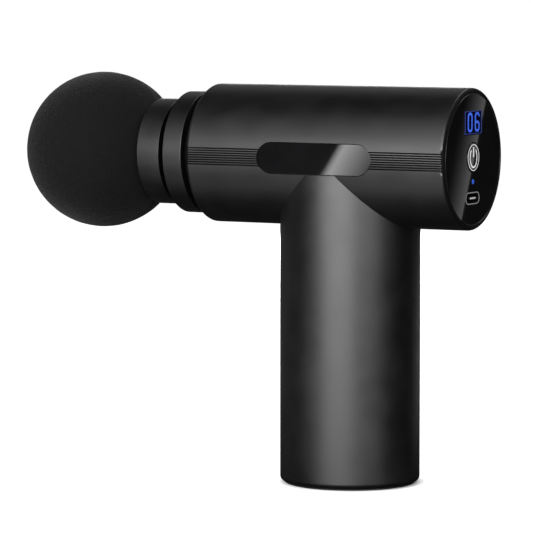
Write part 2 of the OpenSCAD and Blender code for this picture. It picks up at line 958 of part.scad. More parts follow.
module panel_frame() {
    color(frame_c)
        difference() {
            union() {
                tube_x(bore_r - slip, bore_r - panel_wall, board_back, glass_back);
                panel_bosses() rod_x(boss_r, board_back, board_back + boss_l, 0, 0);
            }
            tube_x(bore_r + 1, bore_r - rib_h - slip, rib_x - face_gap, rib_x + rib_w + face_gap);
            panel_bosses() rod_x(screw_d / 2 + seat, board_back - 1, board_back + boss_l - 0.5, 0, 0);
        }
}

module rear_glass() {
    color(gloss_c)
        difference() {
            round_x(glass_r, glass_back, x_rear, 0, 0.25);
            box(
                [glass_back - 1, -window_w / 2, z_window - window_h / 2],
                [x_rear + 1, window_w / 2, z_window + window_h / 2]
            );
            rod_x(button_r + free, glass_back - 1, x_rear + 1, 0, z_button);
            rod_x(light_d / 2 + seat, glass_back - 1, x_rear + 1, 0, z_light);
            round_rect_x(trim_w, trim_h, trim_round, glass_back - 1, x_rear + 1, z_port);
        }
}

module display_module() {
    w = window_w / 2 - seat;
    h = window_h / 2 - seat;
    color([0.06, 0.06, 0.1])
        box([board_back, -w, z_window - h], [module_face, w, z_window + h]);
}

// One segment of a digit, given by its corners on the panel
module segment(y0, z0, y1, z1) {
    box([module_face, y0, z0], [module_face + lit_t, y1, z1]);
}

// The lit segments of a digit with its left edge at y0
module digit(y0, upper_right, middle) {
    s = segment_w;
    z0 = z_window - digit_h / 2;
    z1 = z_window + digit_h / 2;
    y1 = y0 + digit_w;
    g = 0.06;
    segment(y0 + s + g, z1 - s, y1 - s - g, z1);
    segment(y0 + s + g, z0, y1 - s - g, z0 + s);
    segment(y0, z_window + g, y0 + s, z1);
    segment(y0, z0, y0 + s, z_window - g);
    segment(y1 - s, z0, y1, z_window - g);
    if (upper_right)
        segment(y1 - s, z_window + g, y1, z1);
    if (middle)
        segment(y0 + s + g, z_window - s / 2, y1 - s - g, z_window + s / 2);
}

module display_marks() {
    w = window_w / 2 - border_in;
    h = window_h / 2 - border_in;
    color(blue_c) {
        digit(-digit_w - digit_gap / 2, true, false);
        digit(digit_gap / 2, false, true);
        difference() {
            segment(-w, z_window - h, w, z_window + h);
            box(
                [module_face - 1, border_w - w, z_window - h + border_w],
                [module_face + 1, w - border_w, z_window + h - border_w]
            );
        }
    }
}

module status_light() {
    color(blue_c)
        rod_x(light_d / 2, board_back, x_rear + 0.02, 0, z_light);
}

module tact_switch() {
    color(rubber_c)
        difference() {
            box(
                [board_back, -switch_w / 2, z_button - switch_w / 2],
                [switch_top, switch_w / 2, z_button + switch_w / 2]
            );
            rod_x(push_r + free, switch_top - push_depth, switch_top + 1, 0, z_button);
        }
}

module charge_port() {
    color(steel_c)
        difference() {
            pill_x(port_w, port_h, board_back, x_rear - port_in, z_port);
            pill_x(
                port_w - 2 * port_wall, port_h - 2 * port_wall, board_back - 1, x_rear + 1, z_port
            );
        }
}

module port_tongue() {
    color([0.5, 0.5, 0.52]) {
        pill_x(
            port_w - 2 * port_wall - 2 * seat, port_h - 2 * port_wall - 2 * seat,
            board_back, board_back + port_core, z_port
        );
        box(
            [board_back + port_core - 0.5, -port_bar_w / 2, z_port - port_bar_t / 2],
            [x_rear - tongue_in, port_bar_w / 2, z_port + port_bar_t / 2]
        );
    }
}

module port_trim() {
    color([0.45, 0.46, 0.48])
        difference() {
            round_rect_x(
                trim_w - 2 * seat, trim_h - 2 * seat, trim_round - seat, glass_back, x_rear, z_port
            );
            pill_x(port_w + 2 * seat, port_h + 2 * seat, glass_back - 1, x_rear + 1, z_port);
        }
}

module motor_bell() {
    color([0.3, 0.3, 0.33])
        difference() {
            union() {
                tube_z(bell_r, bell_r - bell_wall, bell_bot, bell_top);
                rod_z(bell_r - 0.3, bell_bot, bell_bot + bell_floor);
                rod_z(shaft_r + 1.6, bell_bot, bell_bot + bell_floor + 1);
            }
            rod_z(shaft_r + seat, bell_bot - 1, bell_top);
        }
}

module motor_magnets() {
    color([0.55, 0.55, 0.58])
        difference() {
            tube_z(magnet_r, magnet_r - magnet_t, stator_bot, stator_top);
            for (i = [0:magnet_count - 1])
                rotate([0, 0, (i + 0.5) * 360 / magnet_count])
                    box(
                        [magnet_r / 2, -magnet_t / 4, stator_bot - 1],
                        [magnet_r + 1, magnet_t / 4, stator_top + 1]
                    );
        }
}

module motor_shaft() {
    color(steel_c)
        rod_z(shaft_r, bell_bot, crank_top - 1);
}

module crank_wheel() {
    color(steel_c)
        difference() {
            union() {
                rod_z(crank_hub_d / 2, crank_bot, crank_top);
                intersection() {
                    rod_z(weight_r, crank_bot, crank_top);
                    box([-far, -far, crank_bot - 1], [-1, far, crank_top + 1]);
                }
                rod_z(pin_r + 1, crank_top - 0.5, roller_bot - face_gap, throw_r, 0);
                rod_z(pin_r, crank_top - 0.5, clip_bot, throw_r, 0);
                rod_z(pin_end_r, crank_top - 0.5, yoke_top + 0.8, throw_r, 0);
            }
            rod_z(shaft_r + seat, crank_bot - 1, crank_top - 1 + seat);
        }
}

module roller_clip() {
    color(steel_c)
        tube_z(pin_r + 1.2, pin_end_r + seat, clip_bot, clip_bot + clip_t, throw_r, 0);
}

module crank_roller() {
    color([0.6, 0.61, 0.64])
        tube_z(roller_r, pin_r + run, roller_bot, roller_top, throw_r, 0);
}

module plunger() {
    half_w = tongue_w / 2 + seat;
    color(frame_c)
        difference() {
            round_x(plunger_r, x_plunger, x_tail, 0.3, 0.3);
            rod_x(socket_d / 2, x_plunger - 1, x_plunger + socket_depth);
            box(
                [x_tail - tongue_slot, -half_w, yoke_bot - seat],
                [x_tail + 1, half_w, yoke_top + seat]
            );
            rod_z(yoke_pin_r + seat, axis_h - body_r, axis_h + body_r, x_tail - tongue_slot / 2, 0);
        }
}

module yoke() {
    x0 = throw_r - slot_half_x;
    x1 = throw_r + slot_half_x;
    half_y = cheek_in - yoke_gap;
    color(steel_c)
        difference() {
            union() {
                box([x0 - yoke_bar, -half_y, yoke_bot], [x1 + yoke_bar, half_y, yoke_top]);
                box(
                    [x_tail - tongue_slot + face_gap, -tongue_w / 2, yoke_bot],
                    [x0 - yoke_bar + 1, tongue_w / 2, yoke_top]
                );
            }
            box([x0, -slot_half_y, yoke_bot - 1], [x1, slot_half_y, yoke_top + 1]);
            rod_z(yoke_pin_r + seat, yoke_bot - 1, yoke_top + 1, x_tail - tongue_slot / 2, 0);
        }
}

module yoke_pin() {
    half = sqrt(plunger_r * plunger_r - yoke_pin_r * yoke_pin_r) - 0.2;
    color(steel_c)
        rod_z(yoke_pin_r, axis_h - half, axis_h + half, x_tail - tongue_slot / 2, 0);
}

module massage_ball() {
    color(foam_c)
        difference() {
            translate([x_ball, 0, axis_h])
                sphere(r = ball_d / 2);
            box([x_collar, -far, 0], [far, far, far]);
            rod_x(core_d / 2 + seat, x_collar - core_len - seat, x_collar + 1);
        }
}

module head_collar() {
    color(shell_c)
        difference() {
            union() {
                round_x(collar_d / 2, x_collar, x_collar_rear, collar_round, collar_round);
                rod_x(core_d / 2, x_collar - core_len, x_collar + 1);
            }
            rod_x(tenon_d / 2 + seat, x_collar - tenon_len - seat, x_collar_rear + 1);
            tube_x(
                collar_d / 2 - collar_wall, plunger_r + 0.8, x_collar + collar_wall,
                x_collar_rear + 1
            );
        }
}

module head_stem() {
    stem_r = socket_d / 2 - slip;
    color(frame_c)
        difference() {
            union() {
                round_x(stem_r, x_collar_rear, x_collar_rear + stem_len, 0, 0.8);
                rod_x(tenon_d / 2, x_collar - tenon_len, x_collar_rear + 1);
            }
            for (x = o_ring_at)
                tube_x(
                    stem_r + 2, socket_d / 2 - o_ring_t - 2 * seat,
                    x_collar_rear + x - o_ring_t, x_collar_rear + x + o_ring_t
                );
        }
}

module head_o_rings() {
    r = o_ring_t / 2;
    color(rubber_c)
        for (x = o_ring_at)
            translate([x_collar_rear + x, 0, axis_h])
                rotate([0, 90, 0])
                    rotate_extrude()
                        translate([socket_d / 2 - seat - r, 0])
                            circle(r);
}

module power_button() {
    color(gloss_c) {
        translate([0, 0, z_button - axis_h])
            round_x(button_r, flange_back - 1, button_face, 0, 0.2);
        rod_x(button_r + 1, flange_back - 1.2, flange_back, 0, z_button);
        rod_x(push_r + 0.4, switch_top + push_len, flange_back - 1, 0, z_button);
    }
}

module power_marks() {
    r0 = 0.54 * button_r;
    r1 = 0.7 * button_r;
    half = (r1 - r0) / 2;
    x0 = button_face;
    x1 = button_face + mark_t;
    color(white_c) {
        tube_x(button_r - 0.3, button_r - 0.65, x0, x1, 0, z_button);
        difference() {
            tube_x(r1, r0, x0, x1, 0, z_button);
            box([x0 - 1, -0.3 * button_r, z_button], [x1 + 1, 0.3 * button_r, z_button + button_r]);
        }
        box(
            [x0, -half, z_button + 0.12 * button_r], [x1, half, z_button + 0.78 * button_r]
        );
    }
}

module switch_plunger() {
    color(plastic_c)
        rod_x(push_r, switch_top - push_depth + button_travel + 0.2, switch_top + push_len, 0, z_button);
}

left_shell();
right_shell();
left_badge();
right_badge();
nose_ring();
dust_seal();
base_cap();
foot_pad();
base_screws();
drive_frame();
frame_damper();
guide_bushing();
shell_screws();
motor_base();
motor_stator();
motor_windings();
motor_bearings();
motor_screws();
motor_leads();
battery_cells();
lower_tray();
upper_tray();
cell_links();
protection_board();
protection_parts();
battery_leads();
control_board();
board_chips();
board_connectors();
board_screws();
panel_frame();
rear_glass();
display_module();
display_marks();
status_light();
tact_switch();
charge_port();
port_tongue();
port_trim();
motor_bell();
motor_magnets();
motor_shaft();
crank_wheel();
roller_clip();
crank_roller();
plunger();
yoke();
yoke_pin();
massage_ball();
head_collar();
head_stem();
head_o_rings();
power_button();
power_marks();
switch_plunger();
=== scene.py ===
"""Looks of a mini massage gun: finishes, foam ball, badges, lit panel and studio.

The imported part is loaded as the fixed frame. Its shells, rings and inner pieces keep their shape
and get their finishes here. The foam ball, the badges, the display's digits and the button's print
are modelled here and stand for the plain solids. The thin lines round the display, the port and the
glass, and the tip of the port's tongue, are added to them.
Everything is in metres, in the frame of the part: +X to the rear panel, +Z up, the ball towards -X.
"""

import json
import logging
import math
from dataclasses import dataclass, field
from enum import Enum

import bmesh
import bpy
from mathutils import Matrix, Vector, noise

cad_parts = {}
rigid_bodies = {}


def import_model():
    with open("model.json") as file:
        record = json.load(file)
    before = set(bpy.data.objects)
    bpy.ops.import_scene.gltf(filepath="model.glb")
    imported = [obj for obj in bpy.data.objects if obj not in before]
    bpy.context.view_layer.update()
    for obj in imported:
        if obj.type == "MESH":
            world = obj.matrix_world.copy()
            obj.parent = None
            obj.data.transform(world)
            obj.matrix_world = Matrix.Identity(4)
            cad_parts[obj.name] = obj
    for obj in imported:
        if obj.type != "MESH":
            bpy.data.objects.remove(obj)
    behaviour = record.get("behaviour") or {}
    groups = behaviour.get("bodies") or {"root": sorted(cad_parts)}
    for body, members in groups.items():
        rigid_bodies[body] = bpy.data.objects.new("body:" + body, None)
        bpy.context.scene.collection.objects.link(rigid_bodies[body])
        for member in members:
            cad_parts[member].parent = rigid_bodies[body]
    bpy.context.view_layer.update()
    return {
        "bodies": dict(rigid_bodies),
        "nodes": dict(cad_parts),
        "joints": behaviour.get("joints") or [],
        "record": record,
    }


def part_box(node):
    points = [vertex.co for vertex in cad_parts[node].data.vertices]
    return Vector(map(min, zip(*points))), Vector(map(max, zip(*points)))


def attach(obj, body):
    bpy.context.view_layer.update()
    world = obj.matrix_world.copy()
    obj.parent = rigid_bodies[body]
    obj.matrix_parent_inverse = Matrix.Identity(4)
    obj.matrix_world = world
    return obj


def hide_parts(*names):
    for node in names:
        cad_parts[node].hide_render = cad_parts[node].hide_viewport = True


log = logging.getLogger("massage_gun")

MM = 0.001
WELD = 0.001 * MM  # corners closer than this are one

MIDDLE = (0.3, 0.7)  # the values that most of a noise lies between
WHOLE = (0.0, 1.0)  # all the values of a mask
GRAIN_DETAIL = 2.0  # layers of finer noise in a grain
CLOUD_DETAIL = 3.0  # layers of finer noise in a slow unevenness
WAVE_BAND = 0.314  # length of one band of the wave texture at a scale of 1
WHITE = (1.0, 1.0, 1.0, 1.0)

Colour = tuple[float, float, float]
Point = tuple[float, float, float]
Socket = bpy.types.NodeSocket
FormPart = bmesh.types.BMVert | bmesh.types.BMEdge | bmesh.types.BMFace


class Side(Enum):
    """The two sides of the barrel, by the sign of Y."""

    LEFT = -1
    RIGHT = 1


class Turn(Enum):
    """The way that a flat stroke bends, seen from behind the panel."""

    LEFT = 1
    RIGHT = -1


class Rays(Enum):
    """The light of a lamp that reaches the object."""

    ALL = "all"
    GLOSS = "gloss"
    MATT = "matt"


class NodeSheet:
    """The nodes of one material, with short ways to add and join them."""

    def __init__(self, name: str) -> None:
        """Starts an empty material.

        Args:
            name: The material's name.
        """
        self.material = bpy.data.materials.new(name)
        self.material.use_nodes = True
        self.tree = self.material.node_tree
        self.tree.nodes.clear()
        self.coords = self.add("ShaderNodeTexCoord").outputs["Object"]

    def add(self, kind: str, **settings: object) -> bpy.types.Node:
        """Adds a node.

        Args:
            kind: Blender's name of the node type.
            settings: Values for the node's own properties.

        Returns:
            The new node.
        """
        node = self.tree.nodes.new(kind)
        for key, value in settings.items():
            setattr(node, key, value)
        return node

    def join(self, source: Socket, target: Socket) -> None:
        """Links an output to an input."""
        self.tree.links.new(source, target)

    def feed(self, source: Socket | float, target: Socket) -> None:
        """Links an output to an input, or sets the input to a number.

        Args:
            source: The output, or the number.
            target: The input.
        """
        if isinstance(source, float):
            target.default_value = source
        else:
            self.join(source, target)

    def work_out(self, operation: str, *values: Socket | float) -> Socket:
        """Works out a number from other numbers.

        Args:
            operation: Blender's name of the operation.
            values: What goes in, in order.

        Returns:
            The result.
        """
        node = self.add("ShaderNodeMath", operation=operation)
        for value, target in zip(values, node.inputs):
            self.feed(value, target)
        return node.outputs["Value"]

    def length(self, vector: Socket) -> Socket:
        """Measures a vector.

        Args:
            vector: The vector.

        Returns:
            Its length.
        """
        node = self.add("ShaderNodeVectorMath", operation="LENGTH")
        self.join(vector, node.inputs[0])
        return node.outputs["Value"]

    def place(self, axis: str) -> Socket:
        """Reads where a point lies along one axis.

        Args:
            axis: X, Y or Z.

        Returns:
            The coordinate.
        """
        split = self.add("ShaderNodeSeparateXYZ")
        self.join(self.coords, split.inputs["Vector"])
        return split.outputs[axis]

    def noise(
        self, size: float, detail: float = GRAIN_DETAIL, stretch: Point = (1.0, 1.0, 1.0)
    ) -> Socket:
        """Adds a noise on Object coordinates.

        Args:
            size: Size of a speck, in metres.
            detail: Layers of finer noise.
            stretch: Factors on the pattern's frequency along X, Y and Z.

        Returns:
            The noise's value, around 0.5.
        """
        mapping = self.add("ShaderNodeMapping")
        mapping.inputs["Scale"].default_value = stretch
        self.join(self.coords, mapping.inputs["Vector"])
        texture = self.add("ShaderNodeTexNoise")
        texture.inputs["Scale"].default_value = 1.0 / size
        texture.inputs["Detail"].default_value = detail
        self.join(mapping.outputs["Vector"], texture.inputs["Vector"])
        return texture.outputs["Fac"]

    def spread(
        self, value: Socket, low: float, high: float, span: tuple[float, float] = MIDDLE
    ) -> Socket:
        """Maps a pattern's value to a range.

        Args:
            value: The pattern.
            low: Result at the bottom of the span.
            high: Result at the top of the span.
            span: The part of the pattern's values that is used.

        Returns:
            The mapped value.
        """
        ranged = self.add("ShaderNodeMapRange")
        self.join(value, ranged.inputs["Value"])
        ranged.inputs["From Min"].default_value = span[0]
        ranged.inputs["From Max"].default_value = span[1]
        ranged.inputs["To Min"].default_value = low
        ranged.inputs["To Max"].default_value = high
        return ranged.outputs["Result"]

    def tint(self, value: Socket, dark: Colour, light: Colour) -> Socket:
        """Mixes two colours by a pattern.

        Args:
            value: The pattern.
            dark: Colour at the bottom of the pattern's middle.
            light: Colour at the top of it.

        Returns:
            The mixed colour.
        """
        ramp = self.add("ShaderNodeValToRGB")
        for stop, position, colour in zip(ramp.color_ramp.elements, MIDDLE, (dark, light)):
            stop.position = position
            stop.color = (*colour, 1.0)
        self.join(value, ramp.inputs["Fac"])
        return ramp.outputs["Color"]

    def relief(self, height: Socket, depth: float, below: Socket | None = None) -> Socket:
        """Turns a height pattern into a surface normal.

        Args:
            height: The pattern, from 0 to 1.
            depth: The height of the pattern, in metres.
            below: A normal that this relief is laid over.

        Returns:
            The bumped normal.
        """
        bump = self.add("ShaderNodeBump")
        bump.inputs["Strength"].default_value = 1.0
        bump.inputs["Distance"].default_value = depth
        self.join(height, bump.inputs["Height"])
        if below is not None:
            self.join(below, bump.inputs["Normal"])
        return bump.outputs["Normal"]

    def emboss(self, shader: bpy.types.Node, height: Socket, depth: float) -> None:
        """Lays a relief over the one that a shader has.

        Args:
            shader: The shader.
            height: The pattern, from 0 to 1.
            depth: The height of the pattern, in metres.
        """
        normal = shader.inputs["Normal"]
        self.join(self.relief(height, depth, normal.links[0].from_socket), normal)

    def surface(self) -> bpy.types.Node:
        """Adds the Principled shader and the output.

        Returns:
            The shader.
        """
        shader = self.add("ShaderNodeBsdfPrincipled")
        output = self.add("ShaderNodeOutputMaterial")
        self.join(shader.outputs["BSDF"], output.inputs["Surface"])
        return shader


@dataclass(frozen=True)
class Finish:
    """A grained surface: its colour, gloss and how even it is.

    Attributes:
        name: The material's name.
        colour: Linear base colour.
        roughness: Middle roughness.
        metallic: 1 for bare metal.
        specular: Specular level of the shader.
        coat: Weight of a clear coat.
        grain: Size of the fine grain, in metres.
        depth: Height of that grain, in metres.
        cloud: Size of the slow unevenness, in metres.
        colour_spread: Share by which the colour varies.
        roughness_spread: Share by which the roughness varies.
        stretch: Factors on the grain's frequency along X, Y and Z.
    """

    name: str
    colour: Colour
    roughness: float
    metallic: float = 0.0
    specular: float = 0.5
    coat: float = 0.0
    grain: float = 0.3 * MM
    depth: float = 0.004 * MM
    cloud: float = 9 * MM
    colour_spread: float = 0.15
    roughness_spread: float = 0.1
    stretch: Point = (1.0, 1.0, 1.0)

    def shades(self) -> tuple[Colour, Colour]:
        """Works out how far the colour varies.

        Returns:
            The darkest and the lightest colour of the surface.
        """
        dark = tuple(c * (1 - self.colour_spread) for c in self.colour)
        light = tuple(min(1.0, c * (1 + self.colour_spread)) for c in self.colour)
        return dark, light

    def material(self) -> bpy.types.Material:
        """Builds the material.

        Returns:
            The material.
        """
        sheet = NodeSheet(self.name)
        shader = sheet.surface()
        self.dress(sheet, shader)
        return sheet.material

    def dress(self, sheet: NodeSheet, shader: bpy.types.Node) -> None:
        """Fills in the shader.

        Args:
            sheet: The material's nodes.
            shader: Its Principled shader.
        """
        grain = sheet.noise(self.grain, GRAIN_DETAIL, self.stretch)
        cloud = sheet.noise(self.cloud, CLOUD_DETAIL)
        low = self.roughness * (1 - self.roughness_spread)
        high = self.roughness * (1 + self.roughness_spread)
        sheet.join(sheet.tint(cloud, *self.shades()), shader.inputs["Base Color"])
        sheet.join(sheet.spread(cloud, low, high), shader.inputs["Roughness"])
        sheet.join(sheet.relief(grain, self.depth), shader.inputs["Normal"])
        shader.inputs["Metallic"].default_value = self.metallic
        shader.inputs["Specular IOR Level"].default_value = self.specular
        shader.inputs["Coat Weight"].default_value = self.coat


@dataclass(frozen=True)
class ShadedRecessFinish(Finish):
    """Satin moulded plastic round the barrel's axis, with matt recesses that are darkened as
    painted shade.

    Attributes:
        axis_h: Height of the barrel's axis, in metres.
        satin_r: Distance from that axis at which the satin skin starts, in metres.
        turnover: Depth over which the skin gives way to the recess, in metres.
        recess_shade_colour: Linear colour of the recesses, darker than the skin as painted shade.
        recess_roughness: Roughness of the recesses.
        recess_shade_shine: Share of the skin's reflection that the recesses keep, the rest taken
            away as painted shade.
    """

    axis_h: float = 105 * MM
    satin_r: float = 22.35 * MM
    turnover: float = 0.1 * MM
    recess_shade_colour: Colour = (0.0008, 0.0008, 0.0008)
    recess_roughness: float = 0.8
    recess_shade_shine: float = 0.15

    def dress(self, sheet: NodeSheet, shader: bpy.types.Node) -> None:
        """Makes the surfaces that lie deeper than the skin matt, and darkens their colour and
        reflection as painted shade.

        Args:
            sheet: The material's nodes.
            shader: Its Principled shader.
        """
        super().dress(sheet, shader)
        across = sheet.add("ShaderNodeMapping")
        across.inputs["Location"].default_value = (0.0, 0.0, -self.axis_h)
        across.inputs["Scale"].default_value = (0.0, 1.0, 1.0)
        sheet.join(sheet.coords, across.inputs["Vector"])
        radius = sheet.length(across.outputs["Vector"])
        # Painted shade mask: 1 on the satin skin, 0 on the surfaces deeper than it.
        skin = sheet.spread(radius, 0.0, 1.0, (self.satin_r - self.turnover, self.satin_r))
        # Painted shade: the deeper surfaces take the darker recess colour.
        colour = sheet.add("ShaderNodeMix", data_type="RGBA")
        sheet.join(skin, colour.inputs["Factor"])
        colour.inputs["A"].default_value = (*self.recess_shade_colour, 1.0)
        sheet.join(shader.inputs["Base Color"].links[0].from_socket, colour.inputs["B"])
        sheet.join(colour.outputs["Result"], shader.inputs["Base Color"])
        gloss = sheet.add("ShaderNodeMix")
        sheet.join(skin, gloss.inputs["Factor"])
        gloss.inputs["A"].default_value = self.recess_roughness
        sheet.join(shader.inputs["Roughness"].links[0].from_socket, gloss.inputs["B"])
        sheet.join(gloss.outputs["Result"], shader.inputs["Roughness"])
        # Painted shade: the deeper surfaces keep only part of the skin's reflection.
        shine = sheet.spread(skin, self.recess_shade_shine, 1.0, WHOLE)
        sheet.join(shine, shader.inputs["Specular Tint"])


@dataclass(frozen=True)
class ShellFinish(ShadedRecessFinish):
    """The satin plastic of the two shells, with the parting line between them at Y = 0.

    Attributes:
        seam: Half width of the parting line, in metres.
        seam_depth: Depth of the parting line, in metres.
    """

    seam: float = 0.12 * MM
    seam_depth: float = 0.08 * MM

    def dress(self, sheet: NodeSheet, shader: bpy.types.Node) -> None:
        """Adds the parting line under the grain.

        Args:
            sheet: The material's nodes.
            shader: Its Principled shader.
        """
        super().dress(sheet, shader)
        off = sheet.work_out("ABSOLUTE", sheet.place("Y"))
        rise = sheet.spread(off, 0.0, 1.0, (0.0, self.seam))
        groove = sheet.relief(rise, self.seam_depth)
        for link in shader.inputs["Normal"].links:
            sheet.join(groove, link.from_node.inputs["Normal"])


@dataclass(frozen=True)
class FoamFinish(Finish):
    """Matt moulded foam with small open cells and a soft pale bloom.

    Attributes:
        cell: Size of a foam cell, in metres.
        cell_depth: Depth of a foam cell, in metres.
        bloom: Weight of the soft sheen.
        bloom_roughness: Roughness of the sheen.
        bloom_colour: Linear colour of the sheen.
    """

    cell: float = 0.48 * MM
    cell_depth: float = 0.24 * MM
    bloom: float = 0.1
    bloom_roughness: float = 0.4
    bloom_colour: Colour = (0.9, 0.9, 0.92)

    def dress(self, sheet: NodeSheet, shader: bpy.types.Node) -> None:
        """Adds the cells over the grain, and the bloom.

        Args:
            sheet: The material's nodes.
            shader: Its Principled shader.
        """
        super().dress(sheet, shader)
        cells = sheet.add("ShaderNodeTexVoronoi", feature="SMOOTH_F1")
        cells.inputs["Scale"].default_value = 1.0 / self.cell
        sheet.join(sheet.coords, cells.inputs["Vector"])
        sheet.emboss(shader, cells.outputs["Distance"], self.cell_depth)
        shader.inputs["Sheen Weight"].default_value = self.bloom
        shader.inputs["Sheen Roughness"].default_value = self.bloom_roughness
        shader.inputs["Sheen Tint"].default_value = (*self.bloom_colour, 1.0)


@dataclass(frozen=True)
class LitFinish(Finish):
    """A surface that gives light of its own colour: lit parts, and painted highlights on parts that
    are no lamps.

    Attributes:
        glow: Strength of the light that it gives.
    """

    glow: float = 1.0

    def dress(self, sheet: NodeSheet, shader: bpy.types.Node) -> None:
        """Adds the light to the surface.

        Args:
            sheet: The material's nodes.
            shader: Its Principled shader.
        """
        super().dress(sheet, shader)
        lit = shader.inputs["Base Color"].links[0].from_socket
        sheet.join(lit, shader.inputs["Emission Color"])
        shader.inputs["Emission Strength"].default_value = self.glow


@dataclass(frozen=True)
class WoundFinish(Finish):
    """Enamelled copper wire, laid in close turns round the stator's teeth.

    Attributes:
        wire: Thickness of a wire, in metres.
        groove: Depth of the grooves between the turns, as a share of the wire.
    """

    wire: float = 0.4 * MM
    groove: float = 0.25

    def dress(self, sheet: NodeSheet, shader: bpy.types.Node) -> None:
        """Adds the turns of wire.

        Args:
            sheet: The material's nodes.
            shader: Its Principled shader.
        """
        super().dress(sheet, shader)
        turns = sheet.add("ShaderNodeTexWave", bands_direction="Z")
        turns.inputs["Scale"].default_value = WAVE_BAND / self.wire
        sheet.join(sheet.coords, turns.inputs["Vector"])
        sheet.emboss(shader, turns.outputs["Fac"], self.groove * self.wire)


SATIN_BLACK = (0.0014, 0.0014, 0.0015)
SATIN_GRAIN = 0.22 * MM

SLOT_FINISHES: dict[str, Finish] = {
    # The shells' satin plastic, with painted shade on the surfaces deeper than the skin.
    "shell_plastic": ShellFinish("shell_satin", SATIN_BLACK, 0.4, specular=1.0, grain=SATIN_GRAIN),
    "gloss_black": Finish(
        "badge_gloss", (0.006, 0.006, 0.0065), 0.016, specular=0.44, depth=0.0, roughness_spread=0.3
    ),
    "rubber": Finish("foot_rubber", (0.012, 0.012, 0.012), 0.75, grain=0.5 * MM, depth=0.02 * MM),
    "foam": FoamFinish(
        "ball_foam",
        (0.0068, 0.0068, 0.0068),
        0.9,
        specular=0.11,
        grain=0.24 * MM,
        depth=0.1 * MM,
        cloud=0.8 * MM,
    ),
    "steel": Finish(
        "bright_steel", (0.56, 0.57, 0.6), 0.28, metallic=1.0, stretch=(1.0, 1.0, 0.08)
    ),
    "frame_plastic": Finish("filled_nylon", (0.03, 0.03, 0.032), 0.5, grain=0.25 * MM),
    "alloy": Finish("cast_alloy", (0.52, 0.53, 0.55), 0.42, metallic=1.0, depth=0.01 * MM),
    "dark_steel": Finish(
        "blued_steel", (0.07, 0.07, 0.08), 0.38, metallic=1.0, stretch=(1.0, 1.0, 6.0)
    ),
    "magnet": Finish("plated_magnet", (0.4, 0.4, 0.42), 0.3, metallic=1.0),
    "copper": WoundFinish("wound_copper", (0.45, 0.15, 0.06), 0.3, metallic=1.0),
    "cell_wrap": Finish("cell_wrap", (0.02, 0.07, 0.25), 0.3, coat=0.3, cloud=14 * MM),
    "white_plastic": Finish("white_nylon", (0.62, 0.62, 0.58), 0.5),
    "board_green": Finish(
        "board_lacquer", (0.01, 0.07, 0.03), 0.35, cloud=2 * MM, colour_spread=0.4
    ),
    "chip_black": Finish("chip_resin", (0.012, 0.012, 0.013), 0.55),
    "lead_red": Finish("red_lead", (0.4, 0.012, 0.01), 0.4),
    "lead_yellow": Finish("yellow_lead", (0.55, 0.36, 0.02), 0.4),
    "blue_light": LitFinish(
        "blue_light", (0.042, 0.105, 0.58), 0.4, specular=0.2, colour_spread=0.12
    ),
    "white_mark": Finish("white_print", (0.72, 0.72, 0.73), 0.45, colour_spread=0.06),
    "trim_metal": Finish("port_trim_black", (0.008, 0.008, 0.009), 0.3),
    "bushing_plastic": Finish("bearing_plastic", (0.42, 0.27, 0.1), 0.45),
}


PIECE_FINISHES: dict[str, Finish] = {
    # The ring and the collar, with painted shade on the surfaces deeper than their satin radius.
    "nose_ring_skin": ShadedRecessFinish(
        "ring_satin", SATIN_BLACK, 0.4, specular=1.0, grain=SATIN_GRAIN, satin_r=19.7 * MM
    ),
    "head_collar_skin": ShadedRecessFinish(
        "collar_satin", SATIN_BLACK, 0.42, specular=1.0, grain=SATIN_GRAIN, satin_r=17.1 * MM
    ),
    "rear_glass_skin": Finish(
        "rear_glass", (0.013, 0.013, 0.0134), 0.014, specular=0.25, depth=0.0, roughness_spread=0.3
    ),
    "glass_edge": Finish("polished_edge", (0.02, 0.02, 0.021), 0.2, specular=0.2, depth=0.0),
    "display_module": LitFinish(
        "display_dark", (0.001, 0.001, 0.008), 0.3, specular=0.05, depth=0.0
    ),
    "display_border": LitFinish("border_light", (0.04, 0.06, 0.25), 0.4, specular=0.1, glow=0.5),
    "button_sign": LitFinish("sign_light", (0.6, 0.6, 0.61), 0.4, specular=0.2, glow=0.95),
    "charge_port": Finish("blackened_steel", (0.03, 0.03, 0.032), 0.5, metallic=1.0),
    # Painted highlight: the tongue's pale tip glows though it is no lamp.
    "tongue_tip": LitFinish("tip_pale_glint", (0.6, 0.6, 0.6), 0.45, glow=0.4),
    "status_light": LitFinish("status_blue", (0.035, 0.11, 0.6), 0.4, specular=0.2, glow=0.68),
    # Painted highlight: the port's grey line glows though it is no lamp.
    "port_outline": LitFinish("outline_painted_highlight", (0.45, 0.45, 0.45), 0.5, glow=0.3),
    "port_tongue": Finish("tongue_dark", (0.006, 0.006, 0.006), 0.6, specular=0.2),
}


SHELL_NODES = ("left_shell", "right_shell")
SMOOTH_NODES = ("nose_ring", "head_collar", "base_cap", "power_button")


class Finishes:
    """The materials in use, each built once."""

    def __init__(self) -> None:
        """Builds one material for each slot of the record, and for each piece that has its own."""
        self.by_slot = {slot: finish.material() for slot, finish in SLOT_FINISHES.items()}
        self.by_piece = {name: finish.material() for name, finish in PIECE_FINISHES.items()}

    def give(self, piece: bpy.types.Object, slot: str) -> None:
        """Dresses a piece.

        Args:
            piece: The mesh object.
            slot: The record's material slot.
        """
        piece.data.materials.clear()
        piece.data.materials.append(self.by_piece.get(piece.name, self.by_slot[slot]))


def linked(name: str, data: bpy.types.ID) -> bpy.types.Object:
    """Puts a mesh, a lamp or a camera into the scene.

    Args:
        name: The object's name.
        data: The mesh, lamp or camera.

    Returns:
        The new object.
    """
    made = bpy.data.objects.new(name, data)
    bpy.context.scene.collection.objects.link(made)
    return made


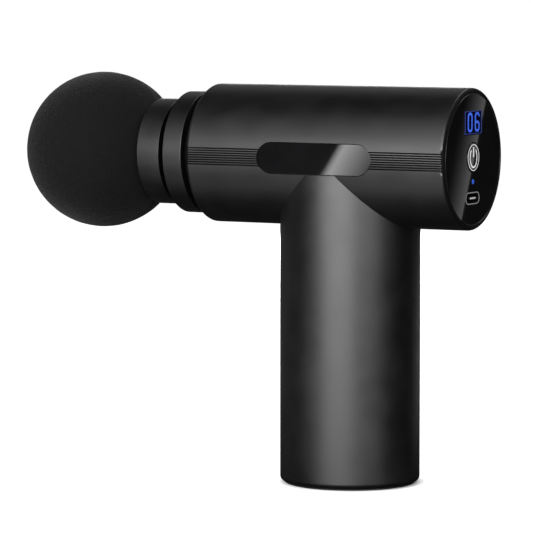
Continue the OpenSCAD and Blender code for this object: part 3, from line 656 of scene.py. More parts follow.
def meshed(name: str, form: bmesh.types.BMesh) -> bpy.types.Object:
    """Makes a mesh object of a form.

    Args:
        name: The object's name.
        form: The form, which is freed.

    Returns:
        The new object.
    """
    mesh = bpy.data.meshes.new(name)
    form.to_mesh(mesh)
    form.free()
    return linked(name, mesh)


def corners(geom: list[FormPart]) -> list[bmesh.types.BMVert]:
    """The vertices among the parts of a form."""
    return [part for part in geom if isinstance(part, bmesh.types.BMVert)]


def first_edge(geom: list[FormPart]) -> bmesh.types.BMEdge:
    """The first edge among the parts of a form."""
    return next(part for part in geom if isinstance(part, bmesh.types.BMEdge))


def finished(
    name: str,
    form: bmesh.types.BMesh,
    body: str,
    slot: str,
    finishes: Finishes,
    crease: float = 35.0,
) -> bpy.types.Object:
    """Makes an object of a finished form.

    Args:
        name: The piece's name.
        form: The form, which is freed.
        body: The body that it rides on.
        slot: The record's material slot.
        finishes: The materials.
        crease: The angle in degrees past which an edge looks sharp.

    Returns:
        The new object.
    """
    piece = meshed(name, form)
    piece.data.shade_smooth()
    piece.data.set_sharp_from_angle(angle=math.radians(crease))
    even = piece.modifiers.new("even_shading", "WEIGHTED_NORMAL")
    even.mode = "FACE_AREA_WITH_ANGLE"
    even.keep_sharp = True
    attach(piece, body)
    finishes.give(piece, slot)
    log.info("%s: %d faces on body %s", name, len(piece.data.polygons), body)
    return piece


@dataclass
class CaseSkin:
    """A smooth piece of the case, a copy of its solid that is merged so that it shades evenly.

    Attributes:
        node: The solid's name.
        crease: The angle in degrees past which an edge looks sharp.
        merge: Distance at which the corners of two triangles are one.
    """

    node: str
    crease: float = 30.0
    merge: float = WELD

    def build(self, frame: dict, finishes: Finishes) -> bpy.types.Object:
        """Copies the solid's mesh and merges it into a piece that stands for it.

        Args:
            frame: The loaded frame.
            finishes: The materials.

        Returns:
            The new piece.
        """
        form = bmesh.new()
        form.from_mesh(frame["nodes"][self.node].data)
        bmesh.ops.remove_doubles(form, verts=form.verts, dist=self.merge)
        record = frame["record"]
        bodies = record["behaviour"]["bodies"]
        body = next(name for name, nodes in bodies.items() if self.node in nodes)
        slots = {part["node"]: part["material_slot"] for part in record["subparts"]}
        piece = finished(
            f"{self.node}_skin", form, body, slots[self.node], finishes, self.crease
        )
        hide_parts(self.node)
        return piece


@dataclass
class ShellSkin(CaseSkin):
    """A half of the case, whose barrel and handle shade as true round faces.

    Attributes:
        slack: How far from the round face a corner may lie, in metres.
        lean: How far a face may lean from the round face, in degrees.
    """

    slack: float = 0.01 * MM
    lean: float = 25.0

    def build(self, frame: dict, finishes: Finishes) -> bpy.types.Object:
        """Makes the skin and sets the normals of its round faces.

        Args:
            frame: The loaded frame.
            finishes: The materials.

        Returns:
            The new piece.
        """
        piece = super().build(frame, finishes)
        piece.modifiers.clear()
        low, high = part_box(self.node)
        radius = max(-low.y, high.y)
        barrel = (Vector((0.0, 0.0, high.z - radius)), Vector((0.0, 1.0, 1.0)))
        handle = (Vector((0.0, 0.0, 0.0)), Vector((1.0, 1.0, 0.0)))
        mesh = piece.data
        normals = [Vector(corner.vector) for corner in mesh.corner_normals]
        for face in mesh.polygons:
            found = [self.round_corners(mesh, face, radius, *axis) for axis in (barrel, handle)]
            best = max(found, key=lambda outs: sum(out.dot(face.normal) for out in outs.values()))
            for loop, out in best.items():
                normals[loop] = out
        mesh.normals_split_custom_set(normals)
        return piece

    def round_corners(
        self,
        mesh: bpy.types.Mesh,
        face: bpy.types.MeshPolygon,
        radius: float,
        middle: Vector,
        across: Vector,
    ) -> dict[int, Vector]:
        """Finds the corners of a face that lie on a round face.

        Args:
            mesh: The skin's mesh.
            face: One of its faces.
            radius: Radius of the round face.
            middle: A point of its axis.
            across: 1 for each direction across the axis, 0 along it.

        Returns:
            The round face's normal at each such corner.
        """
        outs = {}
        for loop in face.loop_indices:
            out = (mesh.vertices[mesh.loops[loop].vertex_index].co - middle) * across
            leans = out.normalized().dot(face.normal) < math.cos(math.radians(self.lean))
            if abs(out.length - radius) < self.slack and not leans:
                outs[loop] = out.normalized()
        return outs


@dataclass
class FoamBall:
    """The foam ball of the head, with its flat back.

    Attributes:
        steps: Steps of the profile's arc.
        turns: Steps round the ball's axis.
        unevenness: How far the moulded skin wanders, in metres.
        lump: Size of that wandering, in metres.
        sink: How far the wandering leans inwards, as a share of the unevenness.
        merge: Distance at which two corners are one, in metres.
    """

    steps: int = 84
    turns: int = 192
    unevenness: float = 0.05 * MM
    lump: float = 3 * MM
    sink: float = 0.6
    merge: float = 0.002 * MM

    def build(self, finishes: Finishes) -> bpy.types.Object:
        """Spins the ball into a padded piece.

        Args:
            finishes: The materials.

        Returns:
            The ball.
        """
        low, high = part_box("massage_ball")
        radius = (high.z - low.z) / 2
        centre = Vector((low.x + radius, 0.0, (low.z + high.z) / 2))
        form = bmesh.new()
        pole = form.verts.new(centre - Vector((radius, 0.0, 0.0)))
        reach = math.acos((centre.x - high.x) / radius)
        bmesh.ops.spin(
            form,
            geom=[pole],
            cent=centre,
            axis=(0.0, 1.0, 0.0),
            angle=reach,
            steps=self.steps,
            use_merge=False,
        )
        rim = max(form.verts, key=lambda v: v.co.x)
        self.close_back(form, rim, centre)
        bmesh.ops.spin(
            form,
            geom=list(form.verts) + list(form.edges),
            cent=centre,
            axis=(1.0, 0.0, 0.0),
            angle=math.tau,
            steps=self.turns,
            use_merge=True,
        )
        bmesh.ops.remove_doubles(form, verts=form.verts, dist=self.merge)
        self.roughen(form, centre, high.x)
        bmesh.ops.recalc_face_normals(form, faces=form.faces)
        piece = finished("foam_ball", form, "head", "foam", finishes)
        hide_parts("massage_ball")
        return piece

    def close_back(
        self, form: bmesh.types.BMesh, rim: bmesh.types.BMVert, centre: Vector
    ) -> None:
        """Takes the profile from the rim of the flat back to the ball's axis.

        Args:
            form: The profile.
            rim: Its last vertex, on the rim.
            centre: The ball's centre.
        """
        grown = bmesh.ops.extrude_vert_indiv(form, verts=[rim])
        inner = grown["verts"][0]
        inner.co = Vector((rim.co.x, centre.y, centre.z))

    def roughen(self, form: bmesh.types.BMesh, centre: Vector, back: float) -> None:
        """Lets the skin wander a little in and out, less and less towards the flat back.

        Args:
            form: The ball.
            centre: Its centre.
            back: X of the flat back.
        """
        for vert in form.verts:
            out = (vert.co - centre).normalized()
            fade = min(1.0, max(0.0, (back - vert.co.x) / self.lump))
            wander = noise.noise(vert.co / self.lump) - self.sink
            vert.co += out * (self.unevenness * fade * wander)


@dataclass
class Badge:
    """A bare gloss badge in the flat pocket of one side of the barrel.

    Attributes:
        side: The side of the barrel.
        edge: Rounding of the face's edge.
        edge_steps: Steps of that rounding.
        steps: Steps of each round end.
    """

    side: Side
    edge: float = 0.15 * MM
    edge_steps: int = 4
    steps: int = 40

    def build(self, finishes: Finishes) -> bpy.types.Object:
        """Draws the pill, thickens it and rounds its face.

        Args:
            finishes: The materials.

        Returns:
            The badge.
        """
        node = f"{self.side.name.lower()}_badge"
        low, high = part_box(node)
        outer, inner = (low.y, high.y) if self.side is Side.LEFT else (high.y, low.y)
        radius = (high.z - low.z) / 2
        middle = (low.z + high.z) / 2
        form = bmesh.new()
        for x, z in ((high.x - radius, high.z), (low.x + radius, low.z)):
            tip = form.verts.new((x, inner, z))
            bmesh.ops.spin(
                form,
                geom=[tip],
                cent=(x, inner, middle),
                axis=(0.0, 1.0, 0.0),
                angle=math.pi,
                steps=self.steps,
            )
        bmesh.ops.bridge_loops(form, edges=form.edges)
        bmesh.ops.dissolve_faces(form, faces=form.faces[:])
        grown = bmesh.ops.extrude_face_region(form, geom=form.faces[:])["geom"]
        moved = set(corners(grown))
        bmesh.ops.translate(form, verts=list(moved), vec=(0.0, outer - inner, 0.0))
        rim = [edge for edge in form.edges if moved.issuperset(edge.verts)]
        bmesh.ops.bevel(
            form,
            geom=rim,
            offset=self.edge,
            segments=self.edge_steps,
            profile=0.5,
            affect="EDGES",
            material=-1,
        )
        bmesh.ops.recalc_face_normals(form, faces=form.faces)
        piece = finished(f"{node}_plate", form, "body", "gloss_black", finishes)
        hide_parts(node)
        return piece


class Stroke:
    """A flat printed or lit line on the rear panel, drawn with a pen of one width."""

    def __init__(
        self, plane: float, start: tuple[float, float], heading: float, width: float
    ) -> None:
        """Puts the pen down.

        Args:
            plane: X of the panel's surface.
            start: Y and Z where the line's middle starts.
            heading: Direction in degrees, 0 along +Y and 90 along +Z.
            width: Width of the line.
        """
        self.form = bmesh.new()
        self.at = Vector((plane, *start))
        self.heading = math.radians(heading)
        across = self.leftward() * (width / 2)
        ends = [self.form.verts.new(self.at + across), self.form.verts.new(self.at - across)]
        self.edge = self.form.edges.new(ends)

    def leftward(self) -> Vector:
        """The direction to the left of the pen's way."""
        return Vector((0.0, -math.sin(self.heading), math.cos(self.heading)))

    def straight(self, length: float) -> "Stroke":
        """Draws on straight ahead.

        Args:
            length: Length of the line.

        Returns:
            The stroke.
        """
        step = Vector((0.0, math.cos(self.heading), math.sin(self.heading))) * length
        grown = bmesh.ops.extrude_edge_only(self.form, edges=[self.edge])["geom"]
        bmesh.ops.translate(self.form, verts=corners(grown), vec=step)
        self.edge = first_edge(grown)
        self.at += step
        return self

    def bend(self, turn: Turn, angle: float, radius: float, steps: int = 12) -> "Stroke":
        """Draws round a bend.

        Args:
            turn: Which way the line bends.
            angle: Angle of the bend, in degrees.
            radius: Radius of the line's middle.
            steps: Steps of the bend.

        Returns:
            The stroke.
        """
        sweep = turn.value * math.radians(angle)
        centre = self.at + self.leftward() * (turn.value * radius)
        grown = bmesh.ops.spin(
            self.form,
            geom=[*self.edge.verts, self.edge],
            cent=centre,
            axis=(1.0, 0.0, 0.0),
            angle=sweep,
            steps=steps,
        )["geom_last"]
        self.edge = first_edge(grown)
        self.at = centre + Matrix.Rotation(sweep, 3, "X") @ (self.at - centre)
        self.heading += sweep
        return self

    def thick(self, thickness: float) -> bmesh.types.BMesh:
        """Gives the line its thickness towards +X.

        Args:
            thickness: The thickness.

        Returns:
            The line's form.
        """
        form = self.form
        bmesh.ops.remove_doubles(form, verts=form.verts, dist=WELD)
        grown = bmesh.ops.extrude_face_region(form, geom=form.faces[:])["geom"]
        bmesh.ops.translate(form, verts=corners(grown), vec=(thickness, 0.0, 0.0))
        bmesh.ops.recalc_face_normals(form, faces=form.faces)
        return form


def gathered(strokes: list[bmesh.types.BMesh]) -> bmesh.types.BMesh:
    """Puts several forms into one.

    Args:
        strokes: The forms, which are freed.

    Returns:
        The whole form.
    """
    whole = bmesh.new()
    for stroke in strokes:
        part = bpy.data.meshes.new("part")
        stroke.to_mesh(part)
        stroke.free()
        whole.from_mesh(part)
        bpy.data.meshes.remove(part)
    return whole


@dataclass
class RearPanel:
    """What is lit, printed or polished on the rear panel.

    Attributes:
        digit_w: Width of a digit.
        digit_h: Height of a digit.
        digit_gap: Gap between the two digits.
        digit_up: How far the digits sit above the middle of the display.
        digit_aside: How far the digits sit to the right of the middle.
        line: Width of a digit's line.
        bend: Radius of the middle of a digit's corners.
        break_gap: Gap in the sides of the nought.
        lit_t: Thickness of the lit layer.
        frame_line: Width of the line round the display.
        frame_up: How far the lower side of that line sits above the display's edge.
        frame_aside: How far that line sits to the right of the middle.
        frame_corner: Radius of that line's corners.
        ring_in: How far the button's ring sits inside the printed circle.
        ring_line: Width of the ring on the button.
        ring_steps: Steps round the ring.
        sign_line: Width of the button's sign.
        sign_share: Radius of the sign's arc, as a share of the printed circle's radius.
        sign_narrow: Width of the arc as a share of its height.
        sign_open: Angle left open at the top of the arc, in degrees.
        sign_steps: Steps along the arc.
        bar_from: Height of the bar's foot above the middle, as a share of the arc's radius.
        bar_share: Length of the bar, as a share of the arc's radius.
        port_line: Width of the port's outline.
        port_in: How much less than the port's trim the outline is across, along Y and Z.
        port_aside: How far the outline sits to the left of the port's middle.
        port_corner: Radius of the outline's corners.
        corner_steps: Steps of an outline's corner.
        tip: Width and height of the tongue's pale tip.
        print_t: Thickness of a printed layer.
        bead: Radius of the polished bead round the glass.
        bead_steps: Steps round the bead's section.
        bead_turns: Steps round the glass.
    """

    digit_w: float = 3.55 * MM
    digit_h: float = 6.15 * MM
    digit_gap: float = 1.8 * MM
    digit_up: float = 0.22 * MM
    digit_aside: float = 0.6 * MM
    line: float = 0.78 * MM
    bend: float = 1.05 * MM
    break_gap: float = 0.12 * MM
    lit_t: float = 0.05 * MM
    frame_line: float = 0.22 * MM
    frame_up: float = 0.3 * MM
    frame_aside: float = 0.25 * MM
    frame_corner: float = 0.2 * MM
    ring_in: float = 0.1 * MM
    ring_line: float = 0.24 * MM
    ring_steps: int = 72
    sign_line: float = 0.58 * MM
    sign_share: float = 0.715
    sign_narrow: float = 0.83
    sign_open: float = 84.0
    sign_steps: int = 56
    bar_from: float = 0.03
    bar_share: float = 1.02
    port_line: float = 0.27 * MM
    port_in: tuple[float, float] = (0.6 * MM, 0.3 * MM)
    port_aside: float = 0.3 * MM
    port_corner: float = 1.8 * MM
    corner_steps: int = 8
    tip: tuple[float, float] = (4.3 * MM, 0.55 * MM)
    print_t: float = 0.05 * MM
    bead: float = 0.18 * MM
    bead_steps: int = 12
    bead_turns: int = 144

    def build(self, finishes: Finishes) -> list[bpy.types.Object]:
        """Builds the panel's pieces.

        Args:
            finishes: The materials.

        Returns:
            The pieces.
        """
        lit = [self.digits(finishes), self.border(finishes)]
        port = [self.port_outline(finishes), self.tongue_tip(finishes)]
        return lit + port + [self.button_sign(finishes), self.glass_edge(finishes)]

    def nought(self, plane: float, left: float, middle: float) -> list[bmesh.types.BMesh]:
        """Draws a nought in two halves.

        Args:
            plane: X of the display's face.
            left: Y of the digit's left edge.
            middle: Z of the digit's middle.

        Returns:
            The two halves.
        """
        side = (self.digit_h - self.line - self.break_gap) / 2 - self.bend
        top = self.digit_w - self.line - 2 * self.bend
        halves = []
        for turn, heading in ((Turn.RIGHT, 90), (Turn.LEFT, -90)):
            up = 1 if heading > 0 else -1
            start = (left + self.line / 2, middle + up * self.break_gap / 2)
            half = Stroke(plane, start, heading, self.line).straight(side)
            half.bend(turn, 90, self.bend).straight(top)
            half.bend(turn, 90, self.bend).straight(side)
            halves.append(half.thick(self.lit_t))
        return halves

    def six(self, plane: float, left: float, middle: float) -> list[bmesh.types.BMesh]:
        """Draws a six in one line.

        Args:
            plane: X of the display's face.
            left: Y of the digit's left edge.
            middle: Z of the digit's middle.

        Returns:
            The digit, as a list of one.
        """
        span = self.digit_w - self.line
        rise = self.digit_h - self.line
        start = (left + self.line / 2 + span, middle + rise / 2 - self.bend)
        digit = Stroke(plane, start, 90, self.line).bend(Turn.LEFT, 90, self.bend)
        for length in (span, rise, span, rise / 2):
            digit.straight(length - 2 * self.bend).bend(Turn.LEFT, 90, self.bend)
        digit.straight(span - self.bend - self.line / 2)
        return [digit.thick(self.lit_t)]

    def digits(self, finishes: Finishes) -> bpy.types.Object:
        """Draws the lit digits.

        Args:
            finishes: The materials.

        Returns:
            The digits.
        """
        low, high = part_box("display_module")
        middle = (low.z + high.z) / 2 + self.digit_up
        half_gap = self.digit_gap / 2
        lines = self.nought(high.x, self.digit_aside - self.digit_w - half_gap, middle)
        lines += self.six(high.x, self.digit_aside + half_gap, middle)
        piece = finished("display_digits", gathered(lines), "body", "blue_light", finishes)
        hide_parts("display_marks")
        return piece

    def border(self, finishes: Finishes) -> bpy.types.Object:
        """Draws the dimmer line round the display.

        Args:
            finishes: The materials.

        Returns:
            The line.
        """
        low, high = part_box("display_module")
        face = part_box("rear_glass")[1].x
        wide = high.y - low.y - self.frame_line
        tall = high.z - low.z - self.frame_line - self.frame_up
        middle = (low.z + high.z + self.frame_up) / 2
        corner, thickness = self.frame_corner, face - high.x
        line = self.outline(high.x, (wide, tall), middle, corner, self.frame_line, thickness)
        bmesh.ops.translate(line, verts=line.verts, vec=(0.0, self.frame_aside, 0.0))
        return finished("display_border", line, "body", "blue_light", finishes)

    def outline(
        self,
        plane: float,
        size: tuple[float, float],
        middle: float,
        corner: float,
        width: float,
        thickness: float,
    ) -> bmesh.types.BMesh:
        """Draws a closed line with round corners.

        Args:
            plane: X of the surface.
            size: Width and height of the line's middle.
            middle: Z of the outline's centre.
            corner: Radius of the corners.
            width: Width of the line.
            thickness: Thickness of the line.

        Returns:
            The line.
        """
        wide, tall = size
        line = Stroke(plane, (corner - wide / 2, middle + tall / 2), 0, width)
        for length in (wide, tall, wide, tall):
            line.straight(length - 2 * corner).bend(Turn.RIGHT, 90, corner, self.corner_steps)
        return line.thick(thickness)

    def button_sign(self, finishes: Finishes) -> bpy.types.Object:
        """Draws the ring and the on-off sign on the button.

        Args:
            finishes: The materials.

        Returns:
            The ring and the sign.
        """
        low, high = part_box("power_marks")
        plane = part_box("power_button")[1].x
        radius = (high.z - low.z) / 2
        middle = (high.z + low.z) / 2
        ring_r = radius - self.ring_in - self.ring_line / 2
        arc_r = radius * self.sign_share
        half_open = self.sign_open / 2
        ring = Stroke(plane, (0.0, middle + ring_r), 180, self.ring_line)
        ring.bend(Turn.LEFT, 360, ring_r, self.ring_steps)
        angle = math.radians(90 + half_open)
        start = (arc_r * math.cos(angle), middle + arc_r * math.sin(angle))
        arc = Stroke(plane, start, 180 + half_open, self.sign_line)
        arc.bend(Turn.LEFT, 360 - self.sign_open, arc_r, self.sign_steps)
        bmesh.ops.scale(arc.form, verts=arc.form.verts, vec=(1.0, self.sign_narrow, 1.0))
        bar = Stroke(plane, (0.0, middle + self.bar_from * arc_r), 90, self.sign_line)
        bar.straight(self.bar_share * arc_r)
        lines = [stroke.thick(self.print_t) for stroke in (ring, arc, bar)]
        piece = finished("button_sign", gathered(lines), "button", "white_mark", finishes)
        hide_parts("power_marks")
        return piece

    def port_outline(self, finishes: Finishes) -> bpy.types.Object:
        """Draws the grey line round the charging port, which glows as a painted highlight.

        Args:
            finishes: The materials.

        Returns:
            The line.
        """
        low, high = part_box("port_trim")
        wide = high.y - low.y - self.port_line - self.port_in[0]
        tall = high.z - low.z - self.port_line - self.port_in[1]
        middle = (low.z + high.z) / 2
        corner, thickness = self.port_corner, self.print_t
        line = self.outline(high.x, (wide, tall), middle, corner, self.port_line, thickness)
        bmesh.ops.translate(line, verts=line.verts, vec=(0.0, -self.port_aside, 0.0))
        return finished("port_outline", line, "body", "white_mark", finishes)

    def tongue_tip(self, finishes: Finishes) -> bpy.types.Object:
        """Draws the pale tip of the port's tongue, which also glows as a painted highlight.

        Args:
            finishes: The materials.

        Returns:
            The tip.
        """
        low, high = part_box("port_tongue")
        wide, tall = self.tip
        tip = Stroke(high.x, (-wide / 2, (low.z + high.z) / 2), 0, tall).straight(wide)
        return finished("tongue_tip", tip.thick(self.print_t), "body", "white_plastic", finishes)

    def glass_edge(self, finishes: Finishes) -> bpy.types.Object:
        """Runs a fine polished bead round the edge of the glass.

        Args:
            finishes: The materials.

        Returns:
            The bead.
        """
        low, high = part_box("rear_glass")
        centre = Vector((high.x, 0.0, (low.z + high.z) / 2))
        form = bmesh.new()
        bmesh.ops.create_circle(form, segments=self.bead_steps, radius=self.bead)
        bmesh.ops.rotate(form, verts=form.verts, matrix=Matrix.Rotation(math.pi / 2, 3, "X"))
        bmesh.ops.translate(form, verts=form.verts, vec=(high.x, 0.0, high.z - self.bead))
        bmesh.ops.spin(
            form,
            geom=form.verts[:] + form.edges[:],
            cent=centre,
            axis=(1.0, 0.0, 0.0),
            angle=math.tau,
            steps=self.bead_turns,
            use_merge=True,
        )
        bmesh.ops.recalc_face_normals(form, faces=form.faces)
        return finished("glass_edge", form, "body", "gloss_black", finishes)


@dataclass(frozen=True)
class Softbox:
    """An even rectangular lamp that faces the object.

    Attributes:
        name: The lamp's name.
        azimuth: Direction round the object in degrees, 0 at -Y and 90 at +X.
        elevation: Degrees above the horizon.
        distance: Metres from the object.
        width: Metres across.
        height: Metres high.
        radiance: Light of its face, where 1 is white.
        rays: The light of it that reaches the object.
    """

    name: str
    azimuth: float
    elevation: float
    distance: float
    width: float
    height: float
    radiance: float
    rays: Rays = Rays.ALL

    def build(self, target: Vector) -> bpy.types.Object:
        """Hangs the lamp so that it faces the target.

        Args:
            target: The point that it faces.

        Returns:
            The lamp.
        """
        data = bpy.data.lights.new(self.name, "AREA")
        data.shape = "RECTANGLE"
        data.size = self.width
        data.size_y = self.height
        data.energy = self.radiance * math.pi * self.width * self.height
        lamp = linked(self.name, data)
        back = direction(self.azimuth, self.elevation)
        facing = (-back).to_track_quat("-Z", "Y").to_matrix()
        lamp.matrix_world = Matrix.Translation(target + back * self.distance) @ facing.to_4x4()
        lamp.visible_camera = False
        lamp.visible_diffuse = self.rays is not Rays.GLOSS
        lamp.visible_glossy = self.rays is not Rays.MATT
        return lamp


def direction(azimuth: float, elevation: float) -> Vector:
    """The unit vector from the object towards a place round it.

    Args:
        azimuth: Degrees, 0 at -Y and 90 at +X.
        elevation: Degrees above the horizon.

    Returns:
        The vector.
    """
    a, e = math.radians(azimuth), math.radians(elevation)
    return Vector((math.sin(a) * math.cos(e), -math.cos(a) * math.cos(e), math.sin(e)))


@dataclass(frozen=True)
class Card:
    """A small lit studio card with a slanting edge, which shows in the gloss faces alone.

    Attributes:
        name: The card's name.
        edge: The middle of its slanting edge.
        lean: Degrees that the edge leans from upright, towards +X going up.
        reach: Metres from the edge to the far side, positive towards +X.
        height: Metres along the edge.
        radiance: Light along the edge, where 1 is white.
        fade: Metres from the edge to where the card is dark.
        soft: Metres over which the light comes up at the edge.
    """

    name: str
    edge: Point
    lean: float
    reach: float
    height: float
    radiance: float
    fade: float
    soft: float = 0.2 * MM

    def build(self) -> None:
        """Makes a unit square on its left edge, sizes it and stands it up."""
        form = bmesh.new()
        bmesh.ops.create_grid(form, x_segments=1, y_segments=1, size=0.5)
        bmesh.ops.translate(form, verts=form.verts, vec=(0.5, 0.0, 0.0))
        bmesh.ops.scale(form, verts=form.verts, vec=(self.reach, self.height, 1.0))
        card = meshed(self.name, form)
        leaning = Matrix.Rotation(math.radians(self.lean), 4, "Y")
        upright = Matrix.Rotation(math.pi / 2, 4, "X")
        card.matrix_world = Matrix.Translation(self.edge) @ leaning @ upright
        card.visible_camera = False
        card.visible_diffuse = False
        card.visible_shadow = False
        card.data.materials.append(self.material())

    def material(self) -> bpy.types.Material:
        """Makes light that falls off from the slanting edge.

        Returns:
            The material.
        """
        sheet = NodeSheet(self.name)
        away = sheet.place("X")
        falling = sheet.spread(away, 1.0, 0.0, (0.0, self.fade))
        rising = sheet.spread(away, 0.0, self.radiance, (0.0, self.soft))
        squared = sheet.work_out("MULTIPLY", falling, falling)
        light = sheet.add("ShaderNodeEmission")
        sheet.join(sheet.work_out("MULTIPLY", squared, rising), light.inputs["Strength"])
        output = sheet.add("ShaderNodeOutputMaterial")
        sheet.join(light.outputs["Emission"], output.inputs["Surface"])
        return sheet.material


@dataclass(frozen=True)
class Pool:
    """A soft pool of light on the floor, which shows in glossy pieces.

    Attributes:
        centre: X and Y of its middle.
        radii: Metres to its edge along X and Y.
        radiance: Light of its middle, where 1 is white.
        core: Share of the radii within which the light is even.
    """

    centre: tuple[float, float]
    radii: tuple[float, float]
    radiance: float
    core: float = 0.3

    def level(self, sheet: NodeSheet) -> Socket:
        """Adds the pool's light to the floor's nodes.

        Args:
            sheet: The floor's nodes.

        Returns:
            The light.
        """
        away = sheet.add("ShaderNodeMapping", vector_type="TEXTURE")
        away.inputs["Location"].default_value = (*self.centre, 0.0)
        away.inputs["Scale"].default_value = (*self.radii, 1.0)
        sheet.join(sheet.coords, away.inputs["Vector"])
        distance = sheet.length(away.outputs["Vector"])
        return sheet.spread(distance, self.radiance, 0.0, (self.core, 1.0))


@dataclass
class Studio:
    """The camera, the floor, the lamps and the white surroundings.

    Attributes:
        azimuth: Camera's direction round the object, in degrees.
        elevation: Camera's height above the horizon, in degrees.
        eye: Where the camera stands.
        film: Width of the camera's image, in millimetres.
        lens: Focal length, in millimetres.
        target: The point that the lamps face.
        floor_r: Radius of the floor.
        floor_steps: Steps round the floor.
        floor_colours: Grey of the floor, to the object and to the camera.
        floor_white: Light of the floor to the camera, where 1 is white.
        floor_roughness: Roughness of the floor.
        painted_shadow_span: Distances from the foot's middle between which the floor comes up to
            white; nearer the foot it is darkened as a painted contact shadow.
        dim: Light of the floor, and of the surroundings, in glossy pieces, where 1 is white.
        softboxes: The lamps.
        pools: The lit places of the floor.
        cards: The small cards that the gloss faces mirror.
    """

    azimuth: float = 27.755
    elevation: float = 4.946
    eye: Point = (0.49199, -0.99263, 0.16534)
    film: float = 36.0
    lens: float = 233.97
    target: Point = (0.0, 0.0, 0.09)
    floor_r: float = 6.0
    floor_steps: int = 96
    floor_colours: tuple[float, float] = (0.02, 0.8)
    floor_white: float = 1.02
    floor_roughness: float = 0.9
    painted_shadow_span: tuple[float, float] = (20.5 * MM, 25.5 * MM)
    dim: tuple[float, float] = (0.005, 0.01)
    softboxes: list[Softbox] = field(
        default_factory=lambda: [
            Softbox("key", 3.8, 8.8, 0.8, 0.8, 0.444, 6.05),
            Softbox("fill", 52, 13.5, 0.8, 0.63, 0.297, 2.4),
            Softbox("fill_gloss", 52, 13.5, 0.82, 0.6458, 0.3044, 3.75, Rays.GLOSS),
            Softbox("front_strip", -14, 42, 1.0, 0.32, 0.7, 2.2),
            Softbox("ball_light", -48, 10, 1.0, 0.4, 0.4, 12.0, Rays.MATT),
            Softbox("rear", 200, 31, 1.0, 1.6, 0.62, 0.24),
            Softbox("left", -105, 8, 1.0, 1.2, 0.8, 0.2),
            Softbox("back_low", 208, 6, 1.0, 0.5, 0.24, 5.0),
            Softbox("back_matt", 208, 6, 1.05, 0.525, 0.252, 16.0, Rays.MATT),
            Softbox("back_high", 150, 48, 1.0, 0.6, 0.4, 3.6, Rays.GLOSS),
        ]
    )
    pools: list[Pool] = field(
        default_factory=lambda: [
            Pool((-0.06, -0.115), (0.13, 0.065), 0.42),
            Pool((-0.22, -0.36), (0.16, 0.2), 0.95),
            Pool((0.03, -0.24), (0.16, 0.18), 0.65),
            Pool((0.06, 0.5), (0.1, 0.45), 0.45),
            Pool((-0.27, 0.15), (0.13, 0.13), 0.12),
        ]
    )
    cards: list[Card] = field(
        default_factory=lambda: [
            Card(
                "badge_card", (-0.3378, -0.7, 0.0631), 32.4, 0.12, 0.2, 10.8, 0.036, 4.2 * MM
            ),
            Card("glass_card", (0.3138, 0.6, 0.069), -12.2, 0.12, 0.13, 0.88, 0.0125),
        ]
    )

    def build(self) -> None:
        """Sets up the whole studio."""
        self.camera()
        self.floor()
        self.surroundings()
        for softbox in self.softboxes:
            softbox.build(Vector(self.target))
        for card in self.cards:
            card.build()
        bpy.context.scene.view_settings.view_transform = "Standard"

    def camera(self) -> None:
        """Stands the camera where the photograph was taken from."""
        data = bpy.data.cameras.new("photo_camera")
        data.sensor_width = self.film
        data.lens = self.lens
        data.clip_start = 0.01
        data.clip_end = 100.0
        eye = linked("photo_camera", data)
        eye.location = self.eye
        ahead = -direction(self.azimuth, self.elevation)
        eye.rotation_euler = ahead.to_track_quat("-Z", "Y").to_euler()
        bpy.context.scene.camera = eye

    def floor(self) -> None:
        """Lays a pale floor that looks white to the camera and keeps the object's shadow, with a
        painted contact shadow round the foot.
        """
        form = bmesh.new()
        bmesh.ops.create_circle(
            form, cap_ends=True, segments=self.floor_steps, radius=self.floor_r
        )
        floor = meshed("floor", form)
        sheet = NodeSheet("pale_floor")
        shader = sheet.surface()
        path = sheet.add("ShaderNodeLightPath")
        colour = sheet.spread(path.outputs["Is Camera Ray"], *self.floor_colours, WHOLE)
        sheet.join(colour, shader.inputs["Base Color"])
        shader.inputs["Roughness"].default_value = self.floor_roughness
        shader.inputs["Specular IOR Level"].default_value = 0.0
        shader.inputs["Emission Color"].default_value = WHITE
        # Painted contact shadow: the floor's white light fades to nothing towards the foot.
        bright = sheet.spread(sheet.length(sheet.coords), 0.0, self.floor_white, self.painted_shadow_span)
        glow: Socket | float = self.dim[0]
        for pool in self.pools:
            glow = sheet.work_out("ADD", glow, pool.level(sheet))
        sheet.join(self.seen(sheet, bright, glow), shader.inputs["Emission Strength"])
        floor.data.materials.append(sheet.material)

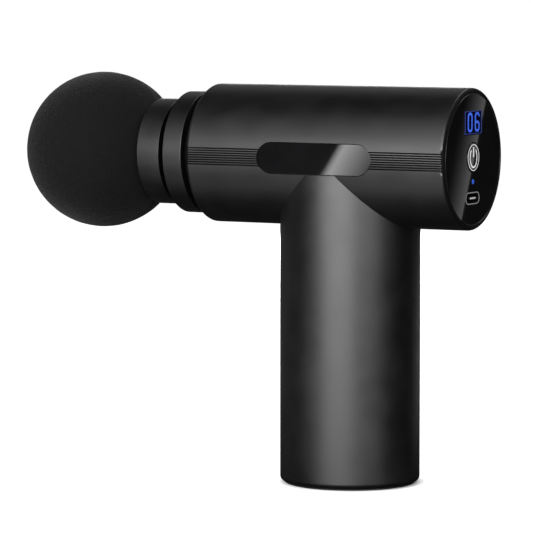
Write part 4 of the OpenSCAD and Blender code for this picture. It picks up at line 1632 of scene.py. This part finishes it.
    def seen(self, sheet: NodeSheet, plain: Socket | float, mirrored: Socket | float) -> Socket:
        """Adds up how bright the surroundings look.

        Args:
            sheet: The nodes of the floor or of the world.
            plain: Brightness seen by the camera or through clear pieces.
            mirrored: Brightness seen in glossy pieces.

        Returns:
            The brightness.
        """
        ray = sheet.add("ShaderNodeLightPath").outputs
        clear = sheet.work_out("MAXIMUM", ray["Is Camera Ray"], ray["Is Transmission Ray"])
        shine = sheet.work_out("MULTIPLY", ray["Is Glossy Ray"], mirrored)
        return sheet.work_out("MULTIPLY_ADD", clear, plain, shine)

    def surroundings(self) -> None:
        """Makes the world white to the camera and dim to the object."""
        sheet = WorldSheet("white_studio")
        sky = sheet.add("ShaderNodeBackground")
        sky.inputs["Color"].default_value = WHITE
        sheet.join(self.seen(sheet, 1.0, self.dim[1]), sky.inputs["Strength"])
        output = sheet.add("ShaderNodeOutputWorld")
        sheet.join(sky.outputs["Background"], output.inputs["Surface"])


class WorldSheet(NodeSheet):
    """The nodes of the world."""

    def __init__(self, name: str) -> None:
        """Starts an empty world.

        Args:
            name: The world's name.
        """
        world = bpy.data.worlds.new(name)
        world.use_nodes = True
        bpy.context.scene.world = world
        self.tree = world.node_tree
        self.tree.nodes.clear()


def dress_frame(frame: dict, finishes: Finishes) -> None:
    """Gives every solid of the part the finish of its slot.

    Args:
        frame: The loaded frame.
        finishes: The materials.
    """
    for part in frame["record"]["subparts"]:
        finishes.give(frame["nodes"][part["node"]], part["material_slot"])


def main() -> None:
    """Builds the scene."""
    logging.basicConfig(level=logging.INFO, format="%(name)s: %(message)s")
    for start in list(bpy.data.objects):
        bpy.data.objects.remove(start)
    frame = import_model()
    finishes = Finishes()
    dress_frame(frame, finishes)
    for node in SHELL_NODES:
        ShellSkin(node).build(frame, finishes)
    for node in SMOOTH_NODES:
        CaseSkin(node).build(frame, finishes)
    CaseSkin("rear_glass", crease=5.0).build(frame, finishes)
    FoamBall().build(finishes)
    for side in Side:
        Badge(side).build(finishes)
    RearPanel().build(finishes)
    Studio().build()


if __name__ == "__main__":
    main()
